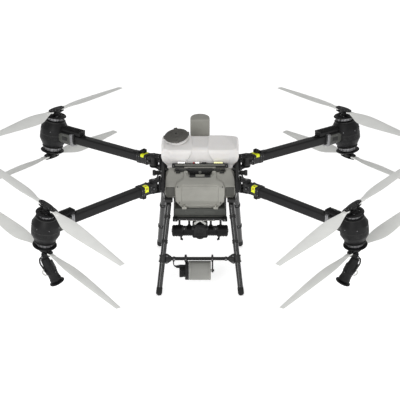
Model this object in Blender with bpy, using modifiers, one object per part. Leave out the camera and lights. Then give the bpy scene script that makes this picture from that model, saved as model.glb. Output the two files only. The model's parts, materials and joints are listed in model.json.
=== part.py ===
"""Agricultural spray drone: a coaxial eight-rotor machine with folding arms.

Units are metres and +Z is up. The origin is on the ground under the middle of the
object. +Y is the nose, -Y is the tail that carries the battery, and -X is the left.
Run with: blender --background --python part.py
"""
import math

import bmesh
import bpy
from mathutils import Matrix, Vector

# Driving dimensions
GAP = 0.0005              # running clearance between two pieces
HINGE_X = 0.265           # fold axis of an arm
HINGE_Y = 0.190
HINGE_Z = 0.617
POD_X = 0.860             # centre of a motor pod
POD_Y = 0.700
POD_Z = 0.580
TAIL_CANT = math.radians(9.0)     # lean of a pod's axis away from the other pod
NOSE_CANT = math.radians(6.5)
TAIL_TILT = math.radians(-2.0)    # lean of a pod's axis towards the centre
NOSE_TILT = math.radians(2.5)
ROTOR_RADIUS = 0.686
PIVOT_RADIUS = 0.052      # blade pivot, from the rotor's axis
HUB_HEIGHT = 0.140        # hub plane, from the pod's centre
DISC_HEIGHT = 0.108       # motor disc, from the pod's centre
UPPER_DISC_RADIUS = 0.063
LOWER_DISC_RADIUS = 0.069
TAIL_BLADE_ANGLE = math.radians(91.5)
NOSE_BLADE_ANGLE = math.radians(98.0)
BLADE_DROOP = math.radians(1.0)
SHAFT_BORE = 0.015        # bore of the lower hubs, clear of the nozzle's pipe
PIPE_RADIUS = 0.011
ARM_SIZE = 0.052
ARM_CHAMFER = 0.010
LUG_HALF_GAP = 0.0295
LUG_THICKNESS = 0.008
FOOT_X = 0.236
LEG_RADIUS = 0.0165
TAIL_FOOT_Y = -0.340
NOSE_FOOT_Y = 0.370
LEG_TOP_Z = 0.4880         # centre line of the leg tube under the frame
BAR_Z = 0.197
BAR_RADIUS = 0.010
RADAR_Z = 0.1235
RADAR_RADIUS = 0.055
TANK_WALL = 0.005
LID_CENTRE = Vector((-0.137, 0.142, 0.799))
LID_RADIUS = 0.069
MOUTH_RADIUS = 0.046
FRAME_SIDE_IN = 0.2035    # inner face of the frame's side plates
FRAME_SIDE_OUT = 0.2220
BATTERY_BACK_Y = -0.002
HANDLE_Y = -0.030
HANDLE_Z = 0.652

COLOURS = {
    "carbon": ((0.030, 0.030, 0.031), 0.45, 0.0),
    "plastic_black": ((0.018, 0.018, 0.018), 0.50, 0.0),
    "plastic_grey": ((0.290, 0.285, 0.255), 0.50, 0.0),
    "plastic_dark_grey": ((0.070, 0.072, 0.067), 0.55, 0.0),
    "tank_white": ((0.720, 0.700, 0.680), 0.35, 0.0),
    "blade_white": ((0.700, 0.705, 0.670), 0.40, 0.0),
    "radar_grey": ((0.280, 0.280, 0.260), 0.50, 0.0),
    "hose_grey": ((0.450, 0.450, 0.430), 0.50, 0.0),
    "rubber_black": ((0.012, 0.012, 0.012), 0.70, 0.0),
}
CORNERS = {
    "tail_left": (-1, -1),
    "tail_right": (1, -1),
    "nose_left": (-1, 1),
    "nose_right": (1, 1),
}


def clear_scene():
    """Start from an empty scene with one collection for the parts."""
    for old in list(bpy.data.objects):
        bpy.data.objects.remove(old)
    collection = bpy.data.collections.new("agricultural_spray_drone")
    bpy.context.scene.collection.children.link(collection)
    return collection


def make_materials():
    """One Principled material for each kind of surface."""
    made = {}
    for name, (colour, roughness, metallic) in COLOURS.items():
        material = bpy.data.materials.new(name)
        material.use_nodes = True
        shader = material.node_tree.nodes["Principled BSDF"]
        shader.inputs["Base Color"].default_value = (*colour, 1.0)
        shader.inputs["Roughness"].default_value = roughness
        shader.inputs["Metallic"].default_value = metallic
        made[name] = material
    return made


PARTS = clear_scene()
MATERIALS = make_materials()


def shape_from_bmesh(mesh_data):
    """Turn a bmesh into a nameless working object."""
    bmesh.ops.recalc_face_normals(mesh_data, faces=mesh_data.faces)
    mesh = bpy.data.meshes.new("shape")
    mesh_data.to_mesh(mesh)
    mesh_data.free()
    shape = bpy.data.objects.new("shape", mesh)
    PARTS.objects.link(shape)
    return shape


def box(low, high):
    """A box between two corners."""
    low = Vector(low)
    high = Vector(high)
    size = high - low
    mesh_data = bmesh.new()
    matrix = Matrix.Translation((low + high) / 2) @ Matrix.Diagonal((*size, 1))
    bmesh.ops.create_cube(mesh_data, size=1.0, matrix=matrix)
    return shape_from_bmesh(mesh_data)


def cylinder(radius, start, end, segments=20, end_radius=None):
    """A cylinder or cone from one point to another."""
    start = Vector(start)
    end = Vector(end)
    axis = end - start
    turn = axis.to_track_quat("Z", "Y").to_matrix().to_4x4()
    matrix = Matrix.Translation((start + end) / 2) @ turn
    mesh_data = bmesh.new()
    bmesh.ops.create_cone(
        mesh_data,
        cap_ends=True,
        segments=segments,
        radius1=radius,
        radius2=radius if end_radius is None else end_radius,
        depth=axis.length,
        matrix=matrix,
    )
    return shape_from_bmesh(mesh_data)


def turned(profile, segments=24):
    """A turned solid about Z, from (radius, z) points listed from top to bottom."""
    mesh = bpy.data.meshes.new("profile")
    points = [(radius, 0.0, z) for radius, z in profile]
    edges = [(i, i + 1) for i in range(len(points) - 1)]
    mesh.from_pydata(points, edges, [])
    shape = bpy.data.objects.new("shape", mesh)
    PARTS.objects.link(shape)
    screw = shape.modifiers.new("turn", "SCREW")
    screw.steps = segments
    screw.render_steps = segments
    screw.use_merge_vertices = True
    screw.merge_threshold = 0.00001
    return apply_modifiers(shape)


def prism(outline, low, high, axes):
    """A flat outline swept along one axis; axes name the outline's two directions."""
    curve = bpy.data.curves.new("outline", "CURVE")
    curve.dimensions = "2D"
    curve.fill_mode = "BOTH"
    curve.extrude = abs(high - low) / 2
    spline = curve.splines.new("POLY")
    spline.points.add(len(outline) - 1)
    for point, (first, second) in zip(spline.points, outline):
        point.co = (first, second, 0.0, 1.0)
    spline.use_cyclic_u = True
    shape = bpy.data.objects.new("shape", curve)
    PARTS.objects.link(shape)
    middle = (low + high) / 2
    if axes == "XY":
        turn = Matrix.Identity(4)
        place = Matrix.Translation((0, 0, middle))
    elif axes == "XZ":
        turn = Matrix.Rotation(math.radians(90), 4, "X")
        place = Matrix.Translation((0, middle, 0))
    else:
        turn = Matrix(((0, 0, 1, 0), (1, 0, 0, 0), (0, 1, 0, 0), (0, 0, 0, 1)))
        place = Matrix.Translation((middle, 0, 0))
    return mesh_from_curve(shape, place @ turn)


def tube(points, radius, resolution=2):
    """A round tube with closed ends along straight runs between points."""
    curve = bpy.data.curves.new("route", "CURVE")
    curve.dimensions = "3D"
    curve.bevel_depth = radius
    curve.bevel_resolution = resolution
    curve.use_fill_caps = True
    spline = curve.splines.new("POLY")
    spline.points.add(len(points) - 1)
    for point, place in zip(spline.points, points):
        point.co = (*place, 1.0)
    shape = bpy.data.objects.new("shape", curve)
    PARTS.objects.link(shape)
    return mesh_from_curve(shape, Matrix.Identity(4))


def mesh_from_curve(shape, matrix):
    """Replace a curve object with a welded mesh object in world coordinates."""
    bpy.context.view_layer.update()
    graph = bpy.context.evaluated_depsgraph_get()
    mesh = bpy.data.meshes.new_from_object(shape.evaluated_get(graph))
    bpy.data.objects.remove(shape)
    mesh_data = bmesh.new()
    mesh_data.from_mesh(mesh)
    bmesh.ops.remove_doubles(mesh_data, verts=mesh_data.verts, dist=0.00001)
    bmesh.ops.transform(mesh_data, matrix=matrix, verts=mesh_data.verts)
    return shape_from_bmesh(mesh_data)


def loft(rings):
    """A closed solid through rings that all have the same number of points."""
    mesh_data = bmesh.new()
    made = [[mesh_data.verts.new(point) for point in ring] for ring in rings]
    count = len(rings[0])
    for lower, upper in zip(made, made[1:]):
        for i in range(count):
            following = (i + 1) % count
            mesh_data.faces.new((lower[i], lower[following], upper[following], upper[i]))
    mesh_data.faces.new(list(reversed(made[0])))
    mesh_data.faces.new(made[-1])
    return shape_from_bmesh(mesh_data)


def apply_modifiers(shape):
    """Give an object the mesh that its modifiers make."""
    bpy.context.view_layer.update()
    graph = bpy.context.evaluated_depsgraph_get()
    mesh = bpy.data.meshes.new_from_object(shape.evaluated_get(graph))
    shape.modifiers.clear()
    shape.data = mesh
    return shape


def combine(target, others, operation="UNION"):
    """Join, cut or intersect an object with others, which are used up."""
    for other in others:
        modifier = target.modifiers.new("combine", "BOOLEAN")
        modifier.operation = operation
        modifier.object = other
        apply_modifiers(target)
        bpy.data.objects.remove(other)
    return target


def rounded(shape, width, segments=1):
    """Chamfer or round the sharp edges."""
    bevel = shape.modifiers.new("edges", "BEVEL")
    bevel.width = width
    bevel.segments = segments
    bevel.limit_method = "ANGLE"
    bevel.angle_limit = math.radians(40)
    return apply_modifiers(shape)


def moved(shape, matrix):
    """Move a working object's mesh."""
    shape.data.transform(matrix)
    return shape


def finish(shape, name, material, origin=(0, 0, 0), frame=None):
    """Name a piece, give it its material and put its origin on its joint's axis."""
    shape.name = name
    shape.data.name = name
    shape.data.materials.clear()
    shape.data.materials.append(MATERIALS[material])
    if frame is not None:
        shape.matrix_world = frame
    else:
        origin = Vector(origin)
        shape.data.transform(Matrix.Translation(-origin))
        shape.location = origin
    for face in shape.data.polygons:
        face.use_smooth = True
    shape.data.set_sharp_from_angle(angle=math.radians(35))
    return shape


def circle(radius, centre, count, start=0.0, sweep=math.tau):
    """Points on an arc, as (first, second) pairs."""
    closed = abs(sweep - math.tau) < 1e-6
    steps = count if closed else count - 1
    return [
        (
            centre[0] + radius * math.cos(start + sweep * i / steps),
            centre[1] + radius * math.sin(start + sweep * i / steps),
        )
        for i in range(count)
    ]


def corner_frame(side, end):
    """A pod's frame: X points to the centre, Z runs up the leaning rotor axis."""
    pod = Vector((side * POD_X, end * POD_Y, POD_Z))
    inward = Vector((side * (HINGE_X - POD_X), end * (HINGE_Y - POD_Y), 0)).normalized()
    away = Vector((-side * abs(inward.y), end * abs(inward.x), 0))
    cant, tilt = (TAIL_CANT, TAIL_TILT) if end < 0 else (NOSE_CANT, NOSE_TILT)
    up = Vector((0, 0, 1)) + away * math.tan(cant) + inward * math.tan(tilt)
    up.normalize()
    first = (inward - up * inward.dot(up)).normalized()
    frame = Matrix.Identity(4)
    frame.col[0].xyz = first
    frame.col[1].xyz = up.cross(first)
    frame.col[2].xyz = up
    frame.col[3].xyz = pod
    return frame


def arm_frame(side, end):
    """An arm's frame at its hinge: X runs out along the arm, Z square to it, up."""
    hinge = Vector((side * HINGE_X, end * HINGE_Y, HINGE_Z))
    pod = Vector((side * POD_X, end * POD_Y, POD_Z))
    outward = (pod - hinge).normalized()
    across = Vector((0, 0, 1)).cross(outward).normalized()
    frame = Matrix.Identity(4)
    frame.col[0].xyz = outward
    frame.col[1].xyz = across
    frame.col[2].xyz = outward.cross(across)
    frame.col[3].xyz = hinge
    return frame


ARM_LENGTH = math.dist((HINGE_X, HINGE_Y, HINGE_Z), (POD_X, POD_Y, POD_Z))


# Centre structure

def mirrored_box(side, low, high):
    """A box given for the right side, or its mirror image for the left side."""
    low_x, high_x = sorted((side * low[0], side * high[0]))
    return box((low_x, low[1], low[2]), (high_x, high[1], high[2]))


def build_centre_frame():
    """Side plates, bulkheads, leg sockets, battery rails, side stubs and nose pads."""
    frame = box((-FRAME_SIDE_OUT, 0.002, 0.5070), (FRAME_SIDE_OUT, 0.018, 0.640))
    web = box((-0.150, 0.002, 0.4420), (0.150, 0.018, 0.520))
    beam = box((-0.161, 0.002, 0.630), (0.161, 0.018, 0.673))
    nose_wall = box((-0.215, 0.312, 0.490), (0.215, 0.330, 0.600))
    pieces = [web, beam, nose_wall]
    for side in (-1, 1):
        pieces.append(mirrored_box(side, (FRAME_SIDE_IN, -0.200, 0.580), (FRAME_SIDE_OUT, 0.240, 0.645)))
        pieces.append(mirrored_box(side, (0.1900, 0.120, 0.510), (0.2150, 0.320, 0.590)))
        pieces.append(mirrored_box(side, (0.1550, -0.172, 0.507), (0.2040, 0.010, 0.5265)))
        pieces.append(mirrored_box(side, (0.1890, 0.010, 0.507), (0.2200, 0.130, 0.600)))
        stub_end = (side * 0.272, 0.040, 0.603)
        pieces.append(cylinder(0.013, (side * 0.210, 0.040, 0.603), stub_end, 10))
        pieces.append(cylinder(0.017, (side * 0.252, 0.040, 0.603), stub_end, 10))
        pieces.append(mirrored_box(side, (0.100, 0.322, 0.505), (0.200, 0.333, 0.585)))
    combine(frame, pieces)
    return finish(frame, "centre_frame", "carbon")


def tower_ring(scale, z):
    """A flat-backed outline of the nose tower at one height."""
    centre_y = 0.381
    points = [(-0.0565, 0.3310 + 0.010), (-0.0465, 0.3310), (0.0465, 0.3310)]
    points.append((0.0565, 0.3310 + 0.010))
    points += circle(0.0565, (0.0, 0.375), 9, 0.0, math.pi)
    return [(x * scale, centre_y + (y - centre_y) * scale, z) for x, y in points]


def build_nose_tower():
    """A hollow column with a domed top, open at the bottom."""
    outer = [(1.0, 0.480), (1.0, 0.788), (0.96, 0.804), (0.86, 0.818), (0.50, 0.829)]
    inner = [(0.92, 0.470), (0.92, 0.784), (0.75, 0.808)]
    tower = loft([tower_ring(scale, z) for scale, z in outer])
    combine(tower, [loft([tower_ring(scale, z) for scale, z in inner])], "DIFFERENCE")
    return finish(tower, "nose_tower", "plastic_grey")


def build_flight_controller():
    """The electronics module that sits inside the nose tower."""
    module = rounded(box((-0.036, 0.345, 0.530), (0.036, 0.415, 0.700)), 0.004)
    return finish(module, "flight_controller", "plastic_black")


def build_belly():
    """The housing under the battery, the plate under it and the payload pad."""
    housing = rounded(box((-0.1465, -0.102, 0.380), (0.1465, 0.200, 0.4415)), 0.008)
    pieces = [box((-0.152, -0.122, 0.374), (0.152, 0.215, 0.388))]
    pieces.append(box((-0.120, 0.020, 0.370), (0.120, 0.200, 0.380)))
    for side in (-1, 1):
        pieces.append(mirrored_box(side, (0.127, -0.130, 0.370), (0.1565, -0.098, 0.392)))
    combine(housing, pieces)
    return finish(housing, "belly_housing", "plastic_dark_grey")


PUMP_Y = -0.055
PUMP_Z = 0.282


def build_pump():
    """Two pumps on a common manifold, hung from the belly plate on posts."""
    pump = rounded(box((-0.046, -0.090, 0.246), (0.046, -0.020, 0.335)), 0.012)
    pieces = [cylinder(0.024, (0, PUMP_Y, 0.236), (0, PUMP_Y, 0.30), 10)]
    for side in (-1, 1):
        middle = (side * 0.095, PUMP_Y, PUMP_Z)
        outer = (side * 0.158, PUMP_Y, PUMP_Z)
        pieces.append(cylinder(0.030, (side * 0.030, PUMP_Y, PUMP_Z), outer, 10))
        pieces.append(cylinder(0.034, middle, outer, 10))
        for x in (0.062, 0.118):
            foot = (side * x, PUMP_Y, PUMP_Z)
            pieces.append(cylinder(0.007, foot, (side * x, PUMP_Y, 0.374 - GAP), 8))
    combine(pump, pieces)
    return finish(pump, "pump_manifold", "plastic_black")


def build_pump_hose():
    """The hose that joins the two pump outlets, arched in front of the manifold."""
    y = -0.099
    route = [(-0.037, y, 0.338), (-0.029, y, 0.349), (-0.014, y, 0.361), (0.0, y, 0.3655)]
    route += [(-x, y, z) for x, y, z in reversed(route[:-1])]
    return finish(tube(route, 0.007), "pump_hose", "hose_grey")


# Landing gear and radar

def leg_point(side, end, z):
    """A point on a leg's centre line at one height."""
    if end < 0:
        top = Vector((side * 0.1760, -0.130, 0.510))
        foot = Vector((side * FOOT_X, TAIL_FOOT_Y, 0.0))
    else:
        top = Vector((side * 0.2100, 0.120, 0.420))
        foot = Vector((side * FOOT_X, NOSE_FOOT_Y, 0.0))
    return foot + (top - foot) * (z / top.z)


def build_landing_gear(side, name):
    """One bent tube: up the tail leg, under the frame's rail and down the nose leg."""
    tail = leg_point(side, -1, LEG_TOP_Z)
    nose = leg_point(side, 1, LEG_TOP_Z)
    along = (nose - tail).normalized() * 0.012
    route = [leg_point(side, -1, -0.030), leg_point(side, -1, LEG_TOP_Z - 0.020)]
    route += [leg_point(side, -1, LEG_TOP_Z - 0.008), tail + along]
    route += [nose - along, leg_point(side, 1, LEG_TOP_Z - 0.008)]
    route += [leg_point(side, 1, LEG_TOP_Z - 0.020), leg_point(side, 1, -0.030)]
    gear = tube(route, LEG_RADIUS, 3)
    combine(gear, [box((-0.4, -0.6, -0.100), (0.4, 0.6, 0.0))], "DIFFERENCE")
    return finish(gear, name, "carbon")


def build_crossbar():
    """The bar between the tail legs, with its end brackets and the radar's arms."""
    leg = leg_point(1, -1, BAR_Z)
    y = leg.y
    end_x = leg.x - LEG_RADIUS - 0.0022
    bar = cylinder(BAR_RADIUS, (-end_x, y, BAR_Z), (end_x, y, BAR_Z), 12)
    pieces = []
    for side in (-1, 1):
        flare_in = (side * (end_x - 0.030), y, BAR_Z)
        flare_out = (side * end_x, y, BAR_Z)
        pieces.append(cylinder(0.011, flare_in, flare_out, 12, 0.019))
    over_drum = RADAR_Z + RADAR_RADIUS + GAP
    pieces.append(box((-0.089, y - 0.016, BAR_Z - 0.016), (-0.074, y + 0.016, BAR_Z + 0.018)))
    pieces.append(box((-0.087, y - 0.012, over_drum), (-0.069, y + 0.012, BAR_Z)))
    pieces.append(box((0.0640, y - 0.014, BAR_Z - 0.014), (0.0770, y + 0.014, BAR_Z + 0.018)))
    pieces.append(box((0.0668, y - 0.010, RADAR_Z - 0.012), (0.0760, y + 0.010, BAR_Z)))
    combine(bar, pieces)
    return finish(bar, "radar_crossbar", "carbon")


def build_radar_motor():
    """The fixed, stepped drive housing at the radar's left end."""
    y = leg_point(1, -1, BAR_Z).y
    motor = cylinder(RADAR_RADIUS, (-0.084, y, RADAR_Z), (-0.0640, y, RADAR_Z), 28)
    cap_z = RADAR_Z - 0.009
    cap = cylinder(0.031, (-0.118, y, cap_z), (-0.080, y, cap_z), 20)
    socket = box((-0.138, y - 0.008, RADAR_Z + 0.016), (-0.083, y + 0.008, RADAR_Z + 0.034))
    combine(motor, [cap, socket])
    return finish(motor, "radar_motor", "plastic_black")


def build_radar_drum():
    """The turning radar drum."""
    y = leg_point(1, -1, BAR_Z).y
    drum = cylinder(RADAR_RADIUS, (-0.0635, y, RADAR_Z), (0.0625, y, RADAR_Z), 28)
    drum = rounded(drum, 0.002)
    combine(drum, [cylinder(0.008, (0.060, y, RADAR_Z), (0.0660, y, RADAR_Z), 12)])
    return finish(drum, "radar_drum", "radar_grey", (0.0, y, RADAR_Z))


def build_radar_cable():
    """The radar's lead, from under the crossbar to the drive housing."""
    y = leg_point(1, -1, BAR_Z).y
    route = [
        (-0.151, y, BAR_Z - BAR_RADIUS - GAP),
        (-0.1515, y, 0.1730),
        (-0.1505, y, 0.1620),
        (-0.1465, y, 0.1530),
        (-0.1420, y, 0.1500),
        (-0.1385, y, 0.1495),
    ]
    return finish(tube(route, 0.0035), "radar_cable", "rubber_black")


# Tank and battery

def tank_front_outline(inset):
    """The tank seen from the tail, as (x, z)."""
    half = [
        (0.184 - inset, 0.4425 + inset),
        (0.184 - inset, 0.632),
        (0.2155 - inset, 0.662),
        (0.2225 - inset, 0.714),
        (0.191 - inset, 0.760 - inset),
        (0.050 - inset, 0.786 - inset),
    ]
    return half + [(-x, z) for x, z in reversed(half)]


def tank_side_outline(inset):
    """The tank seen from its side, as (y, z)."""
    return [
        (0.035 + inset, 0.430),
        (0.302 - inset, 0.430),
        (0.306 - inset, 0.680),
        (0.262 - inset, 0.7340 - inset),
        (0.200, 0.7720 - inset),
        (0.032 + inset, 0.7480 - inset),
        (0.024 + inset, 0.7000),
        (0.034 + inset, 0.6550),
    ]


def lid_frame():
    """The lid's frame: Z along the tilted filler neck."""
    turn = Matrix.Rotation(math.radians(10), 4, "X") @ Matrix.Rotation(math.radians(-8), 4, "Y")
    return Matrix.Translation(LID_CENTRE) @ turn


def build_tank():
    """A hollow tank with two lobes, a saddle between them and a filler neck."""
    tank = prism(tank_front_outline(0.0), 0.0, 0.4, "XZ")
    combine(tank, [prism(tank_side_outline(0.0), -0.3, 0.3, "YZ")], "INTERSECT")
    saddle = prism([(-0.062, 0.83), (-0.046, 0.755), (0.046, 0.755), (0.062, 0.83)], 0.0, 0.4, "XZ")
    combine(tank, [saddle], "DIFFERENCE")
    tank = rounded(tank, 0.010)
    neck = moved(cylinder(0.058, (0, 0, -0.060), (0, 0, -0.0125), 28), lid_frame())
    combine(tank, [neck])
    cavity = prism(tank_front_outline(2 * TANK_WALL), 0.0, 0.4, "XZ")
    combine(cavity, [prism(tank_side_outline(2 * TANK_WALL), -0.3, 0.3, "YZ")], "INTERSECT")
    groove = prism([(-0.080, 0.84), (-0.058, 0.742), (0.058, 0.742), (0.080, 0.84)], 0.0, 0.4, "XZ")
    combine(cavity, [groove], "DIFFERENCE")
    bore = moved(cylinder(MOUTH_RADIUS, (0, 0, -0.090), (0, 0, 0.020), 28), lid_frame())
    combine(cavity, [bore])
    combine(tank, [cavity], "DIFFERENCE")
    return finish(tank, "spray_tank", "tank_white")


def build_lid():
    """The screw lid with four grip lugs."""
    profile = [(0.0, 0.010), (0.045, 0.010), (0.060, 0.006), (LID_RADIUS, -0.002)]
    profile += [(LID_RADIUS, -0.012), (0.0, -0.012)]
    lid = turned(profile, 28)
    lugs = []
    for quarter in range(4):
        lug = box((LID_RADIUS - 0.012, -0.011, -0.011), (LID_RADIUS + 0.006, 0.011, 0.003))
        lugs.append(moved(lug, Matrix.Rotation(math.radians(90 * quarter + 4), 4, "Z")))
    combine(lid, lugs)
    return finish(lid, "tank_lid", "plastic_dark_grey", frame=lid_frame())


def build_battery():
    """The faceted battery with its shoulders, top notch and foot tabs."""
    back = BATTERY_BACK_Y
    side_outline = [
        (back, 0.4420),
        (-0.095, 0.4420),
        (-0.160, 0.5100),
        (-0.168, 0.6050),
        (-0.040, 0.6540),
        (back, 0.6600),
    ]
    front_outline = [
        (0.108, 0.430),
        (0.142, 0.505),
        (0.144, 0.5275),
        (0.186, 0.5275),
        (0.1990, 0.545),
        (0.1990, 0.600),
        (0.180, 0.660),
        (0.150, 0.690),
    ]
    front_outline += [(-x, z) for x, z in reversed(front_outline)]
    battery = prism(side_outline, -0.25, 0.25, "YZ")
    combine(battery, [prism(front_outline, -0.3, 0.1, "XZ")], "INTERSECT")
    battery = rounded(battery, 0.004)
    notch = prism([(-0.086, 0.70), (-0.062, 0.6190), (0.062, 0.6190), (0.086, 0.70)], -0.3, -0.012, "XZ")
    combine(battery, [notch], "DIFFERENCE")
    for side in (-1, 1):
        rest = mirrored_box(side, (0.050, HANDLE_Y - 0.014, 0.6395), (0.147, HANDLE_Y + 0.014, 0.700))
        combine(battery, [rest], "DIFFERENCE")
    tabs = []
    for side in (-1, 1):
        tabs.append(mirrored_box(side, (0.076, -0.120, 0.4420), (0.104, -0.080, 0.4600)))
    combine(battery, tabs)
    return finish(battery, "battery_pack", "plastic_grey")


def build_handle():
    """The carry handle: two short arms, a bar and a hanging grip."""
    low_y = HANDLE_Y - 0.009
    high_y = HANDLE_Y + 0.009
    bar = box((-0.144, low_y, HANDLE_Z - 0.007), (0.144, high_y, HANDLE_Z + 0.007))
    outline = [(-0.070, HANDLE_Z), (-0.052, 0.6230), (0.052, 0.6230), (0.070, HANDLE_Z)]
    grip = prism(outline, low_y, high_y, "XZ")
    combine(bar, [grip])
    return finish(bar, "battery_handle", "plastic_dark_grey", (0.0, HANDLE_Y, HANDLE_Z))


# Arms and rotors

def build_arm_root(corner):
    """The bracket on the frame's side, with a lug above and below the arm."""
    side, end = CORNERS[corner]
    post_x = 0.2360
    lug_radius = 0.027
    height = LUG_HALF_GAP + LUG_THICKNESS
    low_y, high_y = sorted((end * 0.120, end * 0.200))
    low = (FRAME_SIDE_OUT + GAP, low_y, HINGE_Z - height)
    root = mirrored_box(side, low, (post_x, high_y, HINGE_Z + height))
    outline = [(post_x - 0.008, 0.125), (HINGE_X, HINGE_Y - lug_radius)]
    outline += circle(lug_radius, (HINGE_X, HINGE_Y), 7, -math.pi / 2, math.pi)[1:]
    outline += [(post_x - 0.008, 0.198)]
    outline = [(side * x, end * y) for x, y in outline]
    lower = prism(outline, HINGE_Z - height, HINGE_Z - LUG_HALF_GAP, "XY")
    upper = prism(outline, HINGE_Z + LUG_HALF_GAP, HINGE_Z + height, "XY")
    combine(root, [lower, upper])
    return finish(root, "arm_root_" + corner, "plastic_black")


TUBE_END = ARM_LENGTH - 0.1805


def build_arm_tube(corner):
    """The knuckle, its collar and the chamfered square tube."""
    side, end = CORNERS[corner]
    half = ARM_SIZE / 2
    frame = arm_frame(side, end)
    bar = box((0.008, -half, -half), (TUBE_END, half, half))
    collar = box((0.034, -half - 0.004, -half - 0.004), (0.110, half + 0.004, half + 0.004))
    bar = rounded(bar, ARM_CHAMFER)
    combine(bar, [rounded(collar, 0.008)])
    bar = moved(bar, frame)
    centre = frame.translation
    reach = Vector((0, 0, LUG_HALF_GAP - 0.0015))
    combine(bar, [cylinder(0.0250, centre - reach, centre + reach, 16)])
    return finish(bar, "arm_tube_" + corner, "carbon", centre)


LEVER_PIVOT = 0.104
LEVER_KNOB = 0.074


def build_arm_lock(corner):
    """The lever that locks an arm's collar, above a nose arm or below a tail arm."""
    side, end = CORNERS[corner]
    half = ARM_SIZE / 2
    base = half + 0.004 + 0.0020
    lever = box((LEVER_KNOB - 0.008, -0.011, base), (LEVER_PIVOT + 0.004, 0.011, base + 0.010))
    knob = box((LEVER_KNOB - 0.012, -0.014, base), (LEVER_KNOB + 0.012, 0.014, base + 0.020))
    combine(lever, [rounded(knob, 0.005)])
    if end < 0:
        moved(lever, Matrix.Rotation(math.pi, 4, "X"))
    frame = arm_frame(side, end)
    pivot_z = (base + 0.005) * (1 if end > 0 else -1)
    pivot = frame @ Vector((LEVER_PIVOT, 0, pivot_z))
    return finish(moved(lever, frame), "arm_lock_" + corner, "plastic_black", pivot)


def build_motor_pod(corner):
    """The barrel that holds two motors, with the clamp that grips the arm."""
    side, end = CORNERS[corner]
    profile = [(0.0, 0.1025), (0.047, 0.1025), (0.047, 0.084), (0.060, 0.080)]
    profile += [(0.083, 0.040), (0.083, -0.030), (0.055, -0.082), (0.050, -0.084)]
    profile += [(0.050, -0.1025), (0.0, -0.1025)]
    pod = turned(profile, 14)
    frame = corner_frame(side, end)
    along_arm = frame.inverted() @ arm_frame(side, end) @ Matrix.Translation((ARM_LENGTH, 0, 0))
    sleeve = box((-0.162, -0.038, -0.036), (-0.040, 0.038, 0.036))
    band = rounded(box((-0.1800, -0.040, -0.038), (-0.160, 0.040, 0.038)), 0.004)
    block = box((-0.245, -0.024, 0.0285), (-0.080, 0.024, 0.060))
    combine(pod, [moved(piece, along_arm) for piece in (sleeve, band, block)])
    return finish(pod, "motor_pod_" + corner, "plastic_black", frame=frame)


def build_hub(corner, level):
    """A motor disc and, beyond it, two plates that hold the blade roots."""
    side, end = CORNERS[corner]
    facing = 1 if level == "upper" else -1
    disc_radius = UPPER_DISC_RADIUS if level == "upper" else LOWER_DISC_RADIUS
    base = DISC_HEIGHT - HUB_HEIGHT
    profile = [(0.0, 0.0120), (0.021, 0.0120), (0.021, base + 0.004)]
    profile += [(disc_radius - 0.004, base + 0.004), (disc_radius, base)]
    profile += [(disc_radius, base - 0.004), (0.0, base - 0.004)]
    hub = turned(profile, 14)
    plates = []
    for low, high in ((-0.0110, -0.0055), (0.0055, 0.0110)):
        outline = circle(0.017, (PIVOT_RADIUS, 0), 5, -math.pi / 2, math.pi)
        outline += circle(0.017, (-PIVOT_RADIUS, 0), 5, math.pi / 2, math.pi)
        plates.append(prism(outline, low, high, "XY"))
    combine(hub, plates)
    if end < 0 and facing < 0:
        combine(hub, [cylinder(SHAFT_BORE, (0, 0, -0.1), (0, 0, 0.1), 12)], "DIFFERENCE")
    if facing < 0:
        moved(hub, Matrix.Rotation(math.pi, 4, "X"))
    frame = rotor_frame(side, end, facing)
    return finish(hub, "rotor_hub_" + corner + "_" + level, "plastic_black", frame=frame)


def rotor_frame(side, end, facing):
    """A rotor's frame at its hub plane: X along its first blade, Z up."""
    angle = TAIL_BLADE_ANGLE if end < 0 else NOSE_BLADE_ANGLE
    turn = Matrix.Rotation(-side * end * angle, 4, "Z")
    lift = Matrix.Translation((0, 0, facing * HUB_HEIGHT))
    return corner_frame(side, end) @ lift @ turn


# A blade's stations: share of the span, leading edge, trailing edge, thickness, pitch
BLADE_STATIONS = (
    (0.000, 0.0130, -0.0130, 0.0098, 0.0),
    (0.045, 0.0150, -0.0160, 0.0098, 4.0),
    (0.120, 0.0260, -0.0330, 0.0085, 12.0),
    (0.230, 0.0400, -0.0600, 0.0070, 14.0),
    (0.340, 0.0440, -0.0660, 0.0060, 13.0),
    (0.520, 0.0400, -0.0540, 0.0048, 11.0),
    (0.760, 0.0310, -0.0340, 0.0036, 8.0),
    (0.940, 0.0230, -0.0200, 0.0026, 6.0),
    (1.000, 0.0160, -0.0140, 0.0022, 5.0),
)


def blade_ring(station, hand):
    """A lens-shaped section of the blade."""
    share, lead, trail, thickness, pitch = station
    span = ROTOR_RADIUS - PIVOT_RADIUS
    x = share * span
    lean = math.radians(pitch) * hand
    drop = -x * math.tan(BLADE_DROOP)
    ring = []
    chord = lead - trail
    for part, height in ((0.0, 0.0), (0.3, 0.5), (0.7, 0.38), (1.0, 0.0), (0.7, -0.38), (0.3, -0.5)):
        y = (lead - part * chord) * hand
        z = height * thickness
        ring.append((x, y * math.cos(lean) - z * math.sin(lean), y * math.sin(lean) + z * math.cos(lean) + drop))
    return ring


def build_blade(corner, level, which):
    """A folding blade: a round root eye and a twisted, tapering wing."""
    side, end = CORNERS[corner]
    facing = 1 if level == "upper" else -1
    hand = side * end * facing
    blade = loft([blade_ring(station, hand) for station in BLADE_STATIONS])
    eye = cylinder(0.0155, (0, 0, -0.0050), (0, 0, 0.0050), 12)
    combine(blade, [eye])
    half_turn = Matrix.Rotation(math.pi if which == "b" else 0.0, 4, "Z")
    frame = rotor_frame(side, end, facing) @ half_turn @ Matrix.Translation((PIVOT_RADIUS, 0, 0))
    name = "blade_" + which + "_" + corner + "_" + level
    return finish(blade, name, "blade_white", frame=frame)


# Spray nozzles

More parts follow.
